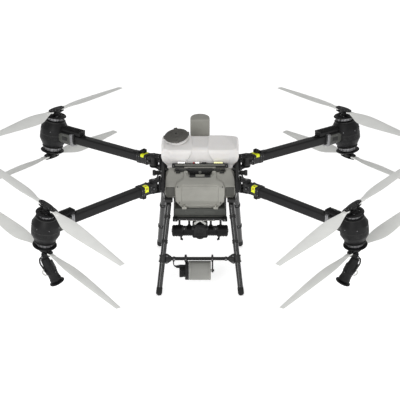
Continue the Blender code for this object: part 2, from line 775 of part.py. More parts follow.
def nozzle_point(side, down, inward):
    """A point below a tail pod, with the nozzle's drop and lean in world axes."""
    pod = corner_frame(side, -1)
    start = pod @ Vector((0, 0, -0.165))
    return start + Vector((-side * inward, 0.0, -down))


def build_sprinkler(side, name):
    """The pipe through the lower hub and the slanted nozzle body under it."""
    pod = corner_frame(side, -1)
    body = cylinder(PIPE_RADIUS, (0, 0, -0.1025 - GAP), (0, 0, -0.185), 12)
    moved(body, pod)
    bend = nozzle_point(side, 0.030, 0.004)
    low = nozzle_point(side, 0.165, 0.066)
    collar = cylinder(0.017, nozzle_point(side, 0.000, 0.0), bend, 12)
    motor = cylinder(0.024, nozzle_point(side, 0.028, 0.000), low, 12, 0.034)
    block = cylinder(0.030, nozzle_point(side, 0.075, 0.030), nozzle_point(side, 0.125, 0.050), 8)
    combine(body, [collar, motor, block])
    return finish(body, name, "plastic_black")


def build_spray_disc(side, name):
    """The spinning disc that breaks the liquid into drops."""
    low = nozzle_point(side, 0.165, 0.066)
    axis = (low - nozzle_point(side, 0.028, 0.000)).normalized()
    frame = axis.to_track_quat("Z", "Y").to_matrix().to_4x4()
    frame.translation = low + axis * GAP
    profile = [(0.0, 0.014), (0.044, 0.014), (0.044, 0.006), (0.020, 0.0), (0.0, 0.0)]
    return finish(turned(profile, 24), name, "plastic_black", frame=frame)


def build_drone():
    """Every piece of the drone."""
    build_centre_frame()
    build_nose_tower()
    build_flight_controller()
    build_belly()
    build_pump()
    build_pump_hose()
    build_crossbar()
    build_radar_motor()
    build_radar_drum()
    build_radar_cable()
    build_tank()
    build_lid()
    build_battery()
    build_handle()
    for side, word in ((-1, "left"), (1, "right")):
        build_landing_gear(side, "landing_gear_" + word)
        build_sprinkler(side, "sprinkler_" + word)
        build_spray_disc(side, "spray_disc_" + word)
    for corner in CORNERS:
        build_arm_root(corner)
        build_arm_tube(corner)
        build_arm_lock(corner)
        build_motor_pod(corner)
        for level in ("upper", "lower"):
            build_hub(corner, level)
            build_blade(corner, level, "a")
            build_blade(corner, level, "b")


build_drone()
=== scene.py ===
"""Agricultural spray drone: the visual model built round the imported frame.

Metres, +Z up, +Y towards the nose. The camera stands behind the tail.
"""
import json
import math

import bmesh
import bpy
from mathutils import Matrix, Vector


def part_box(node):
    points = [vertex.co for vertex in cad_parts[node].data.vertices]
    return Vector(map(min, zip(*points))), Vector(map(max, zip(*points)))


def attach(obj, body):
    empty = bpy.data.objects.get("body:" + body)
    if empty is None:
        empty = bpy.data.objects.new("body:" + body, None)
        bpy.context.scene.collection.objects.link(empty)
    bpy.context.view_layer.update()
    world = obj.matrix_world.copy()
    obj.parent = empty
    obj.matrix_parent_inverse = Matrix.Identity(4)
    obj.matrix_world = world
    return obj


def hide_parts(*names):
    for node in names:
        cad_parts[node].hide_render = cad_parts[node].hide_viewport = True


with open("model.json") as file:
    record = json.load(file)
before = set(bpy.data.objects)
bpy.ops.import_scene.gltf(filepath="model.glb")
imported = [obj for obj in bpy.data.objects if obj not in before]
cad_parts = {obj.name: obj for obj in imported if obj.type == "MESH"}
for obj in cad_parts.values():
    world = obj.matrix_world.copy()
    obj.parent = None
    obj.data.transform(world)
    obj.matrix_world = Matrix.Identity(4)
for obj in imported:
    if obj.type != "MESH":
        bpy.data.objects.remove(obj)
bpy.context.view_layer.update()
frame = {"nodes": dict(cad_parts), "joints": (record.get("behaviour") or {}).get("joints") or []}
JOINTS = {joint["name"]: joint for joint in frame["joints"]}
NODES = frame["nodes"]
UP = Vector((0, 0, 1))
CORNERS = {
    "tail_left": (-1, -1),
    "tail_right": (1, -1),
    "nose_left": (-1, 1),
    "nose_right": (1, 1),
}
LEVELS = {"upper": 1, "lower": -1}


# Where things are, from the frame

def joint_place(name):
    """The position and unit axis of a joint."""
    joint = JOINTS[name]
    place = Vector(joint["pos_m"]) if "pos_m" in joint else Vector((0, 0, 0))
    return place, Vector(joint["axis"]).normalized()


def corners_of(node):
    """The lowest and highest corners of a node."""
    low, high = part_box(node)
    return Vector(low), Vector(high)


def axes(origin, first, up):
    """A frame whose Z is up and whose X is as near to first as it can be."""
    up = up.normalized()
    first = (first - up * first.dot(up)).normalized()
    matrix = Matrix.Identity(4)
    matrix.col[0].xyz = first
    matrix.col[1].xyz = up.cross(first)
    matrix.col[2].xyz = up
    matrix.col[3].xyz = origin
    return matrix


def pod_frame(corner):
    """Centre of a motor pod, X towards the centre of the drone, Z up its rotor axis."""
    upper, up = joint_place("spin_rotor_" + corner + "_upper")
    lower, _ = joint_place("spin_rotor_" + corner + "_lower")
    hinge, _ = joint_place("fold_arm_" + corner)
    centre = (upper + lower) / 2
    return axes(centre, hinge - centre, up)


def arm_frame(corner):
    """An arm's hinge, X out along the arm."""
    hinge, _ = joint_place("fold_arm_" + corner)
    centre = pod_frame(corner).translation
    outward = (centre - hinge).normalized()
    across = UP.cross(outward).normalized()
    return axes(hinge, outward, outward.cross(across))


def arm_length(corner):
    """Distance from the hinge to the pod's centre."""
    return (pod_frame(corner).translation - arm_frame(corner).translation).length


# Materials

MATERIALS = {}


def material(name):
    """A new node material with its shader, ready for the nodes that feed it."""
    made = bpy.data.materials.new(name)
    made.use_nodes = True
    MATERIALS[name] = made
    return made, made.node_tree.nodes, made.node_tree.links, made.node_tree.nodes["Principled BSDF"]


def noise(nodes, links, scale, detail=4.0, stretch=(1, 1, 1)):
    """A noise texture in object space."""
    place = nodes.new("ShaderNodeTexCoord")
    mapping = nodes.new("ShaderNodeMapping")
    mapping.inputs["Scale"].default_value = stretch
    texture = nodes.new("ShaderNodeTexNoise")
    texture.inputs["Scale"].default_value = scale
    texture.inputs["Detail"].default_value = detail
    links.new(place.outputs["Object"], mapping.inputs["Vector"])
    links.new(mapping.outputs["Vector"], texture.inputs["Vector"])
    return texture.outputs["Fac"]


def ramp(nodes, links, source, stops):
    """A colour ramp from (position, grey or colour) stops."""
    node = nodes.new("ShaderNodeValToRGB")
    elements = node.color_ramp.elements
    while len(elements) < len(stops):
        elements.new(0.5)
    for element, (position, colour) in zip(elements, stops):
        if isinstance(colour, (int, float)):
            colour = (colour, colour, colour)
        element.position = position
        element.color = (*colour, 1)
    links.new(source, node.inputs["Fac"])
    return node.outputs["Color"]


def mix(nodes, links, factor, first, second, blend="MIX"):
    """A colour mix whose inputs are sockets, colours or numbers."""
    node = nodes.new("ShaderNodeMix")
    node.data_type = "RGBA"
    node.blend_type = blend
    for socket, value in ((node.inputs[0], factor), (node.inputs[6], first), (node.inputs[7], second)):
        if isinstance(value, bpy.types.NodeSocket):
            links.new(value, socket)
        elif isinstance(value, (int, float)):
            socket.default_value = value
        else:
            socket.default_value = (*value, 1)
    return node.outputs[2]


def bump(nodes, links, source, strength, distance):
    """A bump node fed by a height."""
    node = nodes.new("ShaderNodeBump")
    node.inputs["Strength"].default_value = strength
    node.inputs["Distance"].default_value = distance
    links.new(source, node.inputs["Height"])
    return node.outputs["Normal"]


def scaled(colour, factor):
    """A colour made lighter or darker."""
    return tuple(min(1.0, channel * factor) for channel in colour)


def moulded(name, colour, roughness, grain=900.0, grain_depth=0.25, vary=0.12, wear=1.35, specular=0.5):
    """Moulded plastic: fine grain, slow colour drift and paler worn edges."""
    _, nodes, links, shader = material(name)
    drift = noise(nodes, links, 9.0, 5.0)
    tone = ramp(nodes, links, drift, [(0.3, scaled(colour, 1 - vary)), (0.7, scaled(colour, 1 + vary))])
    geometry = nodes.new("ShaderNodeNewGeometry")
    edge = ramp(nodes, links, geometry.outputs["Pointiness"], [(0.52, 0.0), (0.60, 0.8)])
    links.new(mix(nodes, links, edge, tone, scaled(colour, wear)), shader.inputs["Base Color"])
    smudge = noise(nodes, links, 26.0, 6.0)
    links.new(
        ramp(nodes, links, smudge, [(0.3, roughness - 0.07), (0.7, roughness + 0.07)]),
        shader.inputs["Roughness"],
    )
    fine = noise(nodes, links, grain, 2.0)
    links.new(bump(nodes, links, fine, grain_depth, 0.0003), shader.inputs["Normal"])
    shader.inputs["Specular IOR Level"].default_value = specular


def carbon(name, colour, roughness, specular=0.30):
    """Carbon fibre under satin lacquer: a diagonal twill of two dark tones."""
    _, nodes, links, shader = material(name)
    place = nodes.new("ShaderNodeTexCoord")
    mapping = nodes.new("ShaderNodeMapping")
    mapping.inputs["Rotation"].default_value = (math.radians(45), math.radians(45), math.radians(45))
    links.new(place.outputs["Object"], mapping.inputs["Vector"])
    weave = nodes.new("ShaderNodeTexChecker")
    weave.inputs["Scale"].default_value = 330.0
    weave.inputs["Color1"].default_value = (*scaled(colour, 0.80), 1)
    weave.inputs["Color2"].default_value = (*scaled(colour, 1.25), 1)
    links.new(mapping.outputs["Vector"], weave.inputs["Vector"])
    drift = noise(nodes, links, 5.0, 3.0)
    tone = ramp(nodes, links, drift, [(0.3, 0.88), (0.7, 1.0)])
    links.new(mix(nodes, links, 1.0, weave.outputs["Color"], tone, "MULTIPLY"), shader.inputs["Base Color"])
    links.new(bump(nodes, links, weave.outputs["Fac"], 0.12, 0.0002), shader.inputs["Normal"])
    shader.inputs["Roughness"].default_value = roughness
    shader.inputs["Specular IOR Level"].default_value = specular


def metal(name, colour, roughness, streak=(1, 1, 30)):
    """Machined metal with fine turning marks."""
    _, nodes, links, shader = material(name)
    marks = noise(nodes, links, 60.0, 6.0, streak)
    links.new(ramp(nodes, links, marks, [(0.3, scaled(colour, 0.82)), (0.7, colour)]), shader.inputs["Base Color"])
    links.new(
        ramp(nodes, links, marks, [(0.3, roughness - 0.06), (0.7, roughness + 0.08)]),
        shader.inputs["Roughness"],
    )
    links.new(bump(nodes, links, marks, 0.15, 0.0002), shader.inputs["Normal"])
    shader.inputs["Metallic"].default_value = 1.0


def milky(name, colour):
    """Blow-moulded polyethylene: light passes a little way in, and the skin is mottled."""
    _, nodes, links, shader = material(name)
    cloud = noise(nodes, links, 5.0, 5.0)
    links.new(ramp(nodes, links, cloud, [(0.3, scaled(colour, 0.95)), (0.7, scaled(colour, 1.03))]),
              shader.inputs["Base Color"])
    skin = noise(nodes, links, 120.0, 4.0)
    links.new(bump(nodes, links, skin, 0.18, 0.0006), shader.inputs["Normal"])
    links.new(ramp(nodes, links, skin, [(0.3, 0.32), (0.7, 0.44)]), shader.inputs["Roughness"])
    shader.inputs["Subsurface Weight"].default_value = 0.25
    shader.inputs["Subsurface Radius"].default_value = (0.02, 0.018, 0.016)
    shader.inputs["Subsurface Scale"].default_value = 0.6


def composite(name, colour):
    """Painted composite blade: faint streaks along the span."""
    _, nodes, links, shader = material(name)
    streak = noise(nodes, links, 30.0, 5.0, (0.3, 0.3, 1))
    links.new(ramp(nodes, links, streak, [(0.3, scaled(colour, 0.95)), (0.7, scaled(colour, 1.03))]),
              shader.inputs["Base Color"])
    links.new(ramp(nodes, links, streak, [(0.3, 0.34), (0.7, 0.46)]), shader.inputs["Roughness"])
    fine = noise(nodes, links, 500.0, 2.0)
    links.new(bump(nodes, links, fine, 0.08, 0.0002), shader.inputs["Normal"])


def lamp(name, colour, glow):
    """A small lit lens."""
    _, nodes, links, shader = material(name)
    spots = noise(nodes, links, 400.0, 2.0)
    links.new(ramp(nodes, links, spots, [(0.3, scaled(colour, 0.9)), (0.7, colour)]), shader.inputs["Base Color"])
    shader.inputs["Emission Color"].default_value = (*colour, 1)
    shader.inputs["Emission Strength"].default_value = glow
    shader.inputs["Roughness"].default_value = 0.25


def make_materials():
    """Every surface of the drone."""
    carbon("carbon", (0.009, 0.009, 0.0095), 0.46, 0.22)
    carbon("leg_tube", (0.014, 0.014, 0.0145), 0.24, 0.55)
    moulded("black", (0.0062, 0.0062, 0.0066), 0.50, wear=1.8, specular=0.22)
    moulded("charcoal", (0.0125, 0.0125, 0.0125), 0.46, wear=2.0, specular=0.30)
    moulded("dark_grey", (0.060, 0.062, 0.056), 0.52, specular=0.30)
    moulded("pad_grey", (0.115, 0.115, 0.105), 0.62, grain=500.0)
    moulded("pad_dark", (0.080, 0.080, 0.072), 0.66, grain=500.0, specular=0.30)
    moulded("trim_grey", (0.140, 0.140, 0.125), 0.55)
    moulded("battery_grey", (0.272, 0.268, 0.240), 0.50)
    moulded("battery_panel", (0.248, 0.245, 0.217), 0.46)
    moulded("tower_grey", (0.265, 0.262, 0.235), 0.50)
    moulded("radar_grey", (0.205, 0.205, 0.190), 0.48)
    moulded("lid_grey", (0.074, 0.071, 0.064), 0.50, specular=0.35)
    moulded("rubber", (0.010, 0.010, 0.010), 0.72, grain=600.0, wear=1.5, specular=0.30)
    moulded("hose", (0.480, 0.480, 0.460), 0.35, grain=300.0, grain_depth=0.1)
    moulded("yellow", (0.820, 0.900, 0.015), 0.45, vary=0.03, wear=1.0)
    moulded("orange", (0.380, 0.190, 0.020), 0.45, vary=0.03, wear=1.0)
    milky("tank", (0.800, 0.782, 0.765))
    composite("blade", (0.780, 0.785, 0.760))
    metal("aluminium", (0.360, 0.360, 0.370), 0.44)
    metal("steel", (0.240, 0.240, 0.246), 0.36)
    lamp("lamp_white", (0.95, 0.95, 0.92), 0.8)
    lamp("lamp_amber", (0.90, 0.88, 0.45), 0.6)
    lamp("lamp_red", (0.34, 0.02, 0.03), 0.2)
    _, nodes, links, shader = material("dark_glass")
    depth = noise(nodes, links, 40.0, 3.0)
    links.new(ramp(nodes, links, depth, [(0.3, 0.006), (0.7, 0.012)]), shader.inputs["Base Color"])
    shader.inputs["Roughness"].default_value = 0.08


# Shapes: each function gives a bmesh

def edges_rounded(shape, width, segments=2, angle=30.0):
    """Round the edges that are sharper than an angle."""
    if width <= 0:
        return shape
    shape.normal_update()
    limit = math.radians(angle)
    sharp = [e for e in shape.edges if len(e.link_faces) == 2 and e.calc_face_angle(0.0) > limit]
    bmesh.ops.bevel(
        shape, geom=sharp, offset=width, segments=segments, profile=0.5, affect="EDGES", clamp_overlap=True
    )
    return shape


def block(low, high, width=0.0, segments=2):
    """A box between two corners with rounded edges."""
    low = Vector(low)
    high = Vector(high)
    for i in range(3):
        if low[i] > high[i]:
            low[i], high[i] = high[i], low[i]
    shape = bmesh.new()
    size = high - low
    matrix = Matrix.Translation((low + high) / 2) @ Matrix.Diagonal((*size, 1))
    bmesh.ops.create_cube(shape, size=1.0, matrix=matrix)
    return edges_rounded(shape, width, segments)


def rod(start, end, radius, end_radius=None, segments=24, width=0.0):
    """A cylinder or cone between two points."""
    start = Vector(start)
    end = Vector(end)
    span = end - start
    turn = span.to_track_quat("Z", "Y").to_matrix().to_4x4()
    shape = bmesh.new()
    bmesh.ops.create_cone(
        shape,
        cap_ends=True,
        segments=segments,
        radius1=radius,
        radius2=radius if end_radius is None else end_radius,
        depth=span.length,
        matrix=Matrix.Translation((start + end) / 2) @ turn,
    )
    return edges_rounded(shape, width, 2, 50.0)


def rings_joined(rings, caps=True):
    """Skin a list of rings with the same number of points."""
    shape = bmesh.new()
    made = [[shape.verts.new(point) for point in ring] for ring in rings]
    count = len(rings[0])
    for lower, upper in zip(made, made[1:]):
        for i in range(count):
            following = (i + 1) % count
            shape.faces.new((lower[i], lower[following], upper[following], upper[i]))
    if caps:
        shape.faces.new(list(reversed(made[0])))
        shape.faces.new(made[-1])
    bmesh.ops.recalc_face_normals(shape, faces=shape.faces)
    return shape


def turned(profile, segments=40, width=0.0):
    """A solid of revolution about Z from (radius, z) points; ends are capped."""
    rings = []
    for radius, z in profile:
        rings.append([
            (radius * math.cos(math.tau * i / segments), radius * math.sin(math.tau * i / segments), z)
            for i in range(segments)
        ])
    return edges_rounded(rings_joined(rings), width, 2, 30.0)


def plate(outline, low, high, plane="XY", width=0.0, segments=2):
    """An outline given thickness; plane names the outline's two directions."""
    def place(first, second, depth):
        if plane == "XY":
            return (first, second, depth)
        if plane == "XZ":
            return (first, depth, second)
        return (depth, first, second)

    rings = [[place(a, b, depth) for a, b in outline] for depth in (low, high)]
    return edges_rounded(rings_joined(rings), width, segments)


def arc(radius, centre, start, sweep, count):
    """Points on an arc; angles in degrees."""
    points = []
    for i in range(count):
        angle = math.radians(start + sweep * i / (count - 1))
        points.append((centre[0] + radius * math.cos(angle), centre[1] + radius * math.sin(angle)))
    return points


def smooth_route(points, steps=6):
    """A smooth curve through given points."""
    points = [Vector(point) for point in points]
    route = []
    for i in range(len(points) - 1):
        before = points[max(i - 1, 0)]
        start = points[i]
        end = points[i + 1]
        after = points[min(i + 2, len(points) - 1)]
        for step in range(steps):
            t = step / steps
            route.append(
                0.5 * (2 * start + (end - before) * t + (2 * before - 5 * start + 4 * end - after) * t * t
                       + (3 * start - before - 3 * end + after) * t ** 3)
            )
    route.append(points[-1])
    return route


def pipe(points, radius, sides=14):
    """A round pipe along a route, its section carried without twist."""
    points = [Vector(point) for point in points]
    heading = (points[1] - points[0]).normalized()
    side = heading.orthogonal().normalized()
    rings = []
    for i, point in enumerate(points):
        ahead = points[min(i + 1, len(points) - 1)]
        behind = points[max(i - 1, 0)]
        new_heading = (ahead - behind).normalized()
        side = heading.rotation_difference(new_heading) @ side
        heading = new_heading
        other = heading.cross(side).normalized()
        size = radius[i] if isinstance(radius, (list, tuple)) else radius
        rings.append([
            point + size * (math.cos(math.tau * k / sides) * side + math.sin(math.tau * k / sides) * other)
            for k in range(sides)
        ])
    return rings_joined(rings)


def rounded_bar(start_x, end_x, half_y, half_z, radius, steps=4):
    """A bar along X with a rounded rectangular section."""
    outline = []
    for sign_y, sign_z, begin in ((1, 1, 0), (-1, 1, 90), (-1, -1, 180), (1, -1, 270)):
        centre = (sign_y * (half_y - radius), sign_z * (half_z - radius))
        outline += arc(radius, centre, begin, 90, steps)
    return rings_joined([[(x, y, z) for y, z in outline] for x in (start_x, end_x)])


def bolt(place, direction, radius, height=None):
    """A socket-head screw: a domed head with a hexagonal recess."""
    height = radius * 0.8 if height is None else height
    direction = Vector(direction).normalized()
    rings = []
    profile = [(radius, 0.0, 18), (radius, height * 0.7, 18), (radius * 0.85, height, 18),
               (radius * 0.50, height, 18), (radius * 0.46, height * 0.45, 18)]
    for size, z, count in profile:
        rings.append([(size * math.cos(math.tau * i / count), size * math.sin(math.tau * i / count), z)
                      for i in range(count)])
    shape = rings_joined(rings)
    turn = direction.to_track_quat("Z", "Y").to_matrix().to_4x4()
    shape.transform(Matrix.Translation(place) @ turn)
    return shape


# Pieces: shapes joined under one name, riding on one body

class Piece:
    """A named object put together from shapes, each with its own material."""

    def __init__(self, name, matrix=None):
        self.name = name
        self.matrix = matrix
        self.shapes = []
        self.materials = []

    def add(self, shape, surface, matrix=None, smooth=True):
        """Take in a shape, moved by a matrix and then by the piece's own."""
        if matrix is not None:
            shape.transform(matrix)
        if self.matrix is not None:
            shape.transform(self.matrix)
        if surface not in self.materials:
            self.materials.append(surface)
        number = self.materials.index(surface)
        bmesh.ops.recalc_face_normals(shape, faces=shape.faces)
        for face in shape.faces:
            face.material_index = number
            face.smooth = smooth
        mesh = bpy.data.meshes.new("shape")
        shape.to_mesh(mesh)
        shape.free()
        self.shapes.append(mesh)

    def done(self, body, nodes=(), angle=32.0):
        """Make the object and tie it to the frame."""
        whole = bmesh.new()
        for mesh in self.shapes:
            whole.from_mesh(mesh)
            bpy.data.meshes.remove(mesh)
        mesh = bpy.data.meshes.new(self.name)
        whole.to_mesh(mesh)
        whole.free()
        for surface in self.materials:
            mesh.materials.append(MATERIALS[surface])
        mesh.set_sharp_from_angle(angle=math.radians(angle))
        piece = bpy.data.objects.new(self.name, mesh)
        bpy.context.scene.collection.objects.link(piece)
        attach(piece, body)
        if nodes:
            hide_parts(*nodes)
        return piece


def as_object(shape):
    """A working object for a Boolean."""
    mesh = bpy.data.meshes.new("work")
    bmesh.ops.recalc_face_normals(shape, faces=shape.faces)
    shape.to_mesh(mesh)
    shape.free()
    made = bpy.data.objects.new("work", mesh)
    bpy.context.scene.collection.objects.link(made)
    return made


def evaluated(made):
    """The bmesh of a working object after its modifiers; the object is removed."""
    bpy.context.view_layer.update()
    graph = bpy.context.evaluated_depsgraph_get()
    mesh = bpy.data.meshes.new_from_object(made.evaluated_get(graph))
    shape = bmesh.new()
    shape.from_mesh(mesh)
    bpy.data.meshes.remove(mesh)
    bpy.data.objects.remove(made)
    return shape


def combined(first, second, operation):
    """Union, difference or intersection of two shapes."""
    target = as_object(first)
    other = as_object(second)
    modifier = target.modifiers.new("combine", "BOOLEAN")
    modifier.operation = operation
    modifier.object = other
    shape = evaluated(target)
    bpy.data.objects.remove(other)
    return shape


def softened(shape, voxel, rounds):
    """Remesh finely and relax, for the flowing edges of blow moulding."""
    made = as_object(shape)
    remesh = made.modifiers.new("remesh", "REMESH")
    remesh.mode = "VOXEL"
    remesh.voxel_size = voxel
    relax = made.modifiers.new("relax", "SMOOTH")
    relax.factor = 0.5
    relax.iterations = rounds
    return evaluated(made)


# Tank

def moved_outline(points, first, second):
    """An outline shifted by two distances."""
    return [(a + first, b + second) for a, b in points]


def mirrored_outline(half):
    """A right half given from bottom to top, closed with its mirror image."""
    return half + [(-a, b) for a, b in reversed(half)]


def lid_axes():
    """The filler lid's frame, Z out of the neck."""
    low, high = corners_of("tank_lid")
    _, axis = joint_place("lid_lift")
    return axes((low + high) / 2, Vector((1, 0, 0)), axis)


def build_tank():
    """The blow-moulded tank: two lobes, a saddle, a seam and the filler neck."""
    low, high = corners_of("spray_tank")
    base = low.z
    front = low.y
    half = [(0.180, 0.0), (0.184, 0.006), (0.184, 0.189), (0.2155, 0.2195), (0.2225, 0.246),
            (0.2225, 0.282), (0.211, 0.303), (0.188, 0.3165), (0.120, 0.331), (0.050, 0.342)]
    side = [(0.013, 0.0), (0.010, 0.213), (0.000, 0.252), (0.001, 0.290), (0.010, 0.304), (0.060, 0.314),
            (0.174, 0.329), (0.238, 0.2915), (0.280, 0.240), (0.282, 0.030), (0.272, 0.0)]
    plan = mirrored_outline([(0.160, front - 0.006), (0.169, front), (0.196, front + 0.016), (0.2225, front + 0.036),
                             (0.2245, front + 0.060), (0.2245, front + 0.236), (0.196, front + 0.290)])
    body = plate(moved_outline(mirrored_outline(half), 0, base), -0.1, 0.5, "XZ")
    body = combined(body, plate(moved_outline(side, front, base), -0.3, 0.3, "YZ"), "INTERSECT")
    body = combined(body, plate(plan, base - 0.1, base + 0.6, "XY"), "INTERSECT")
    saddle = mirrored_outline([(0.044, 0.309), (0.052, 0.326), (0.066, 0.400)])
    body = combined(body, plate(moved_outline(saddle, 0, base), -0.1, 0.5, "XZ"), "DIFFERENCE")
    flare = mirrored_outline([(0.088, 0.150), (0.074, 0.238), (0.050, 0.286), (0.050, 0.400)])
    body = combined(body, plate(moved_outline(flare, 0, base), -0.1, front + 0.013, "XZ"), "DIFFERENCE")
    slope = [(-0.02, 0.400), (-0.02, 0.285), (0.018, 0.300), (0.045, 0.3125), (0.045, 0.400)]
    trough = plate(moved_outline(slope, front, base), -0.047, 0.047, "YZ")
    body = combined(body, trough, "DIFFERENCE")
    for sign in (-1, 1):
        facet = axes(Vector((sign * 0.181, front, base + 0.2735)), UP, Vector((sign * 0.538, -0.773, -0.336)))
        wedge = block((-0.2, -0.2, 0.0), (0.2, 0.2, 0.1))
        wedge.transform(facet)
        wedge = combined(wedge, block((-0.3, -0.1, base + 0.195), (0.3, 0.3, base + 0.4)), "INTERSECT")
        body = combined(body, wedge, "DIFFERENCE")
    body = softened(body, 0.0036, 4)
    tank = Piece("tank_shell")
    tank.add(body, "tank")

    seam_half = [(x + 0.0012, z) for x, z in half]
    seam_y = front + 0.150
    ridge = plate(moved_outline(mirrored_outline(seam_half), 0, base), seam_y, seam_y + 0.0030, "XZ", 0.0010)
    groove = plate(moved_outline(mirrored_outline([(x - 0.010, z) for x, z in half]), 0, base + 0.004),
                   seam_y - 0.01, seam_y + 0.02, "XZ")
    saddle = mirrored_outline([(0.0425, 0.3095), (0.0505, 0.3265), (0.070, 0.400)])
    ridge = combined(ridge, plate(moved_outline(saddle, 0, base), -0.1, 0.5, "XZ"), "DIFFERENCE")
    ridge = combined(ridge, groove, "DIFFERENCE")
    tank.add(ridge, "tank")

    neck = lid_axes()
    collar = turned([(0.066, -0.030), (0.066, -0.021), (0.060, -0.017), (0.058, -0.0125), (0.046, -0.0125)], 48)
    tank.add(collar, "tank", neck @ Matrix.Translation((0, 0, 0.0005)))
    for turn in range(24):
        angle = math.tau * turn / 24
        place = Vector((0.0625 * math.cos(angle), 0.0625 * math.sin(angle), -0.0225))
        tank.add(rod(place, place + Vector((0, 0, 0.006)), 0.0016, segments=8), "tank", neck)
    tank.done("tank", ["spray_tank"], 40)


def build_lid():
    """The filler lid: stepped top, four grip lugs and a knurled rim."""
    lid = Piece("filler_lid", lid_axes())
    radius = 0.069
    profile = [(radius - 0.004, -0.0112), (radius, -0.0095), (radius, -0.0015), (radius - 0.002, 0.0010),
               (radius - 0.008, 0.0042), (0.052, 0.0086), (0.047, 0.0098), (0.044, 0.0092), (0.042, 0.0066),
               (0.024, 0.0066), (0.022, 0.0094), (0.012, 0.0102), (0.004, 0.0104)]
    lid.add(turned(profile, 56, 0.0004), "lid_grey")
    for quarter in range(4):
        turn = Matrix.Rotation(math.radians(90 * quarter + 4), 4, "Z")
        lid.add(block((radius - 0.016, -0.011, -0.0102), (radius + 0.0065, 0.011, 0.0040), 0.003, 3), "lid_grey", turn)
        lid.add(block((radius - 0.030, -0.004, 0.002), (radius - 0.010, 0.004, 0.0082), 0.0015), "lid_grey", turn)
    for turn in range(40):
        angle = math.tau * turn / 40
        place = Vector(((radius - 0.0004) * math.cos(angle), (radius - 0.0004) * math.sin(angle), -0.0092))
        lid.add(rod(place, place + Vector((0, 0, 0.0082)), 0.0014, segments=8), "lid_grey")
    for turn in range(3):
        spin = Matrix.Rotation(math.radians(120 * turn + 20), 4, "Z")
        lid.add(block((0.022, -0.0022, 0.005), (0.045, 0.0022, 0.0090), 0.001), "lid_grey", spin)
    lid.add(rod((0, 0, 0.009), (0, 0, 0.0142), 0.0052, 0.0040, 20, 0.0008), "charcoal")
    lid.done("lid", ["tank_lid"])


# Battery and its handle

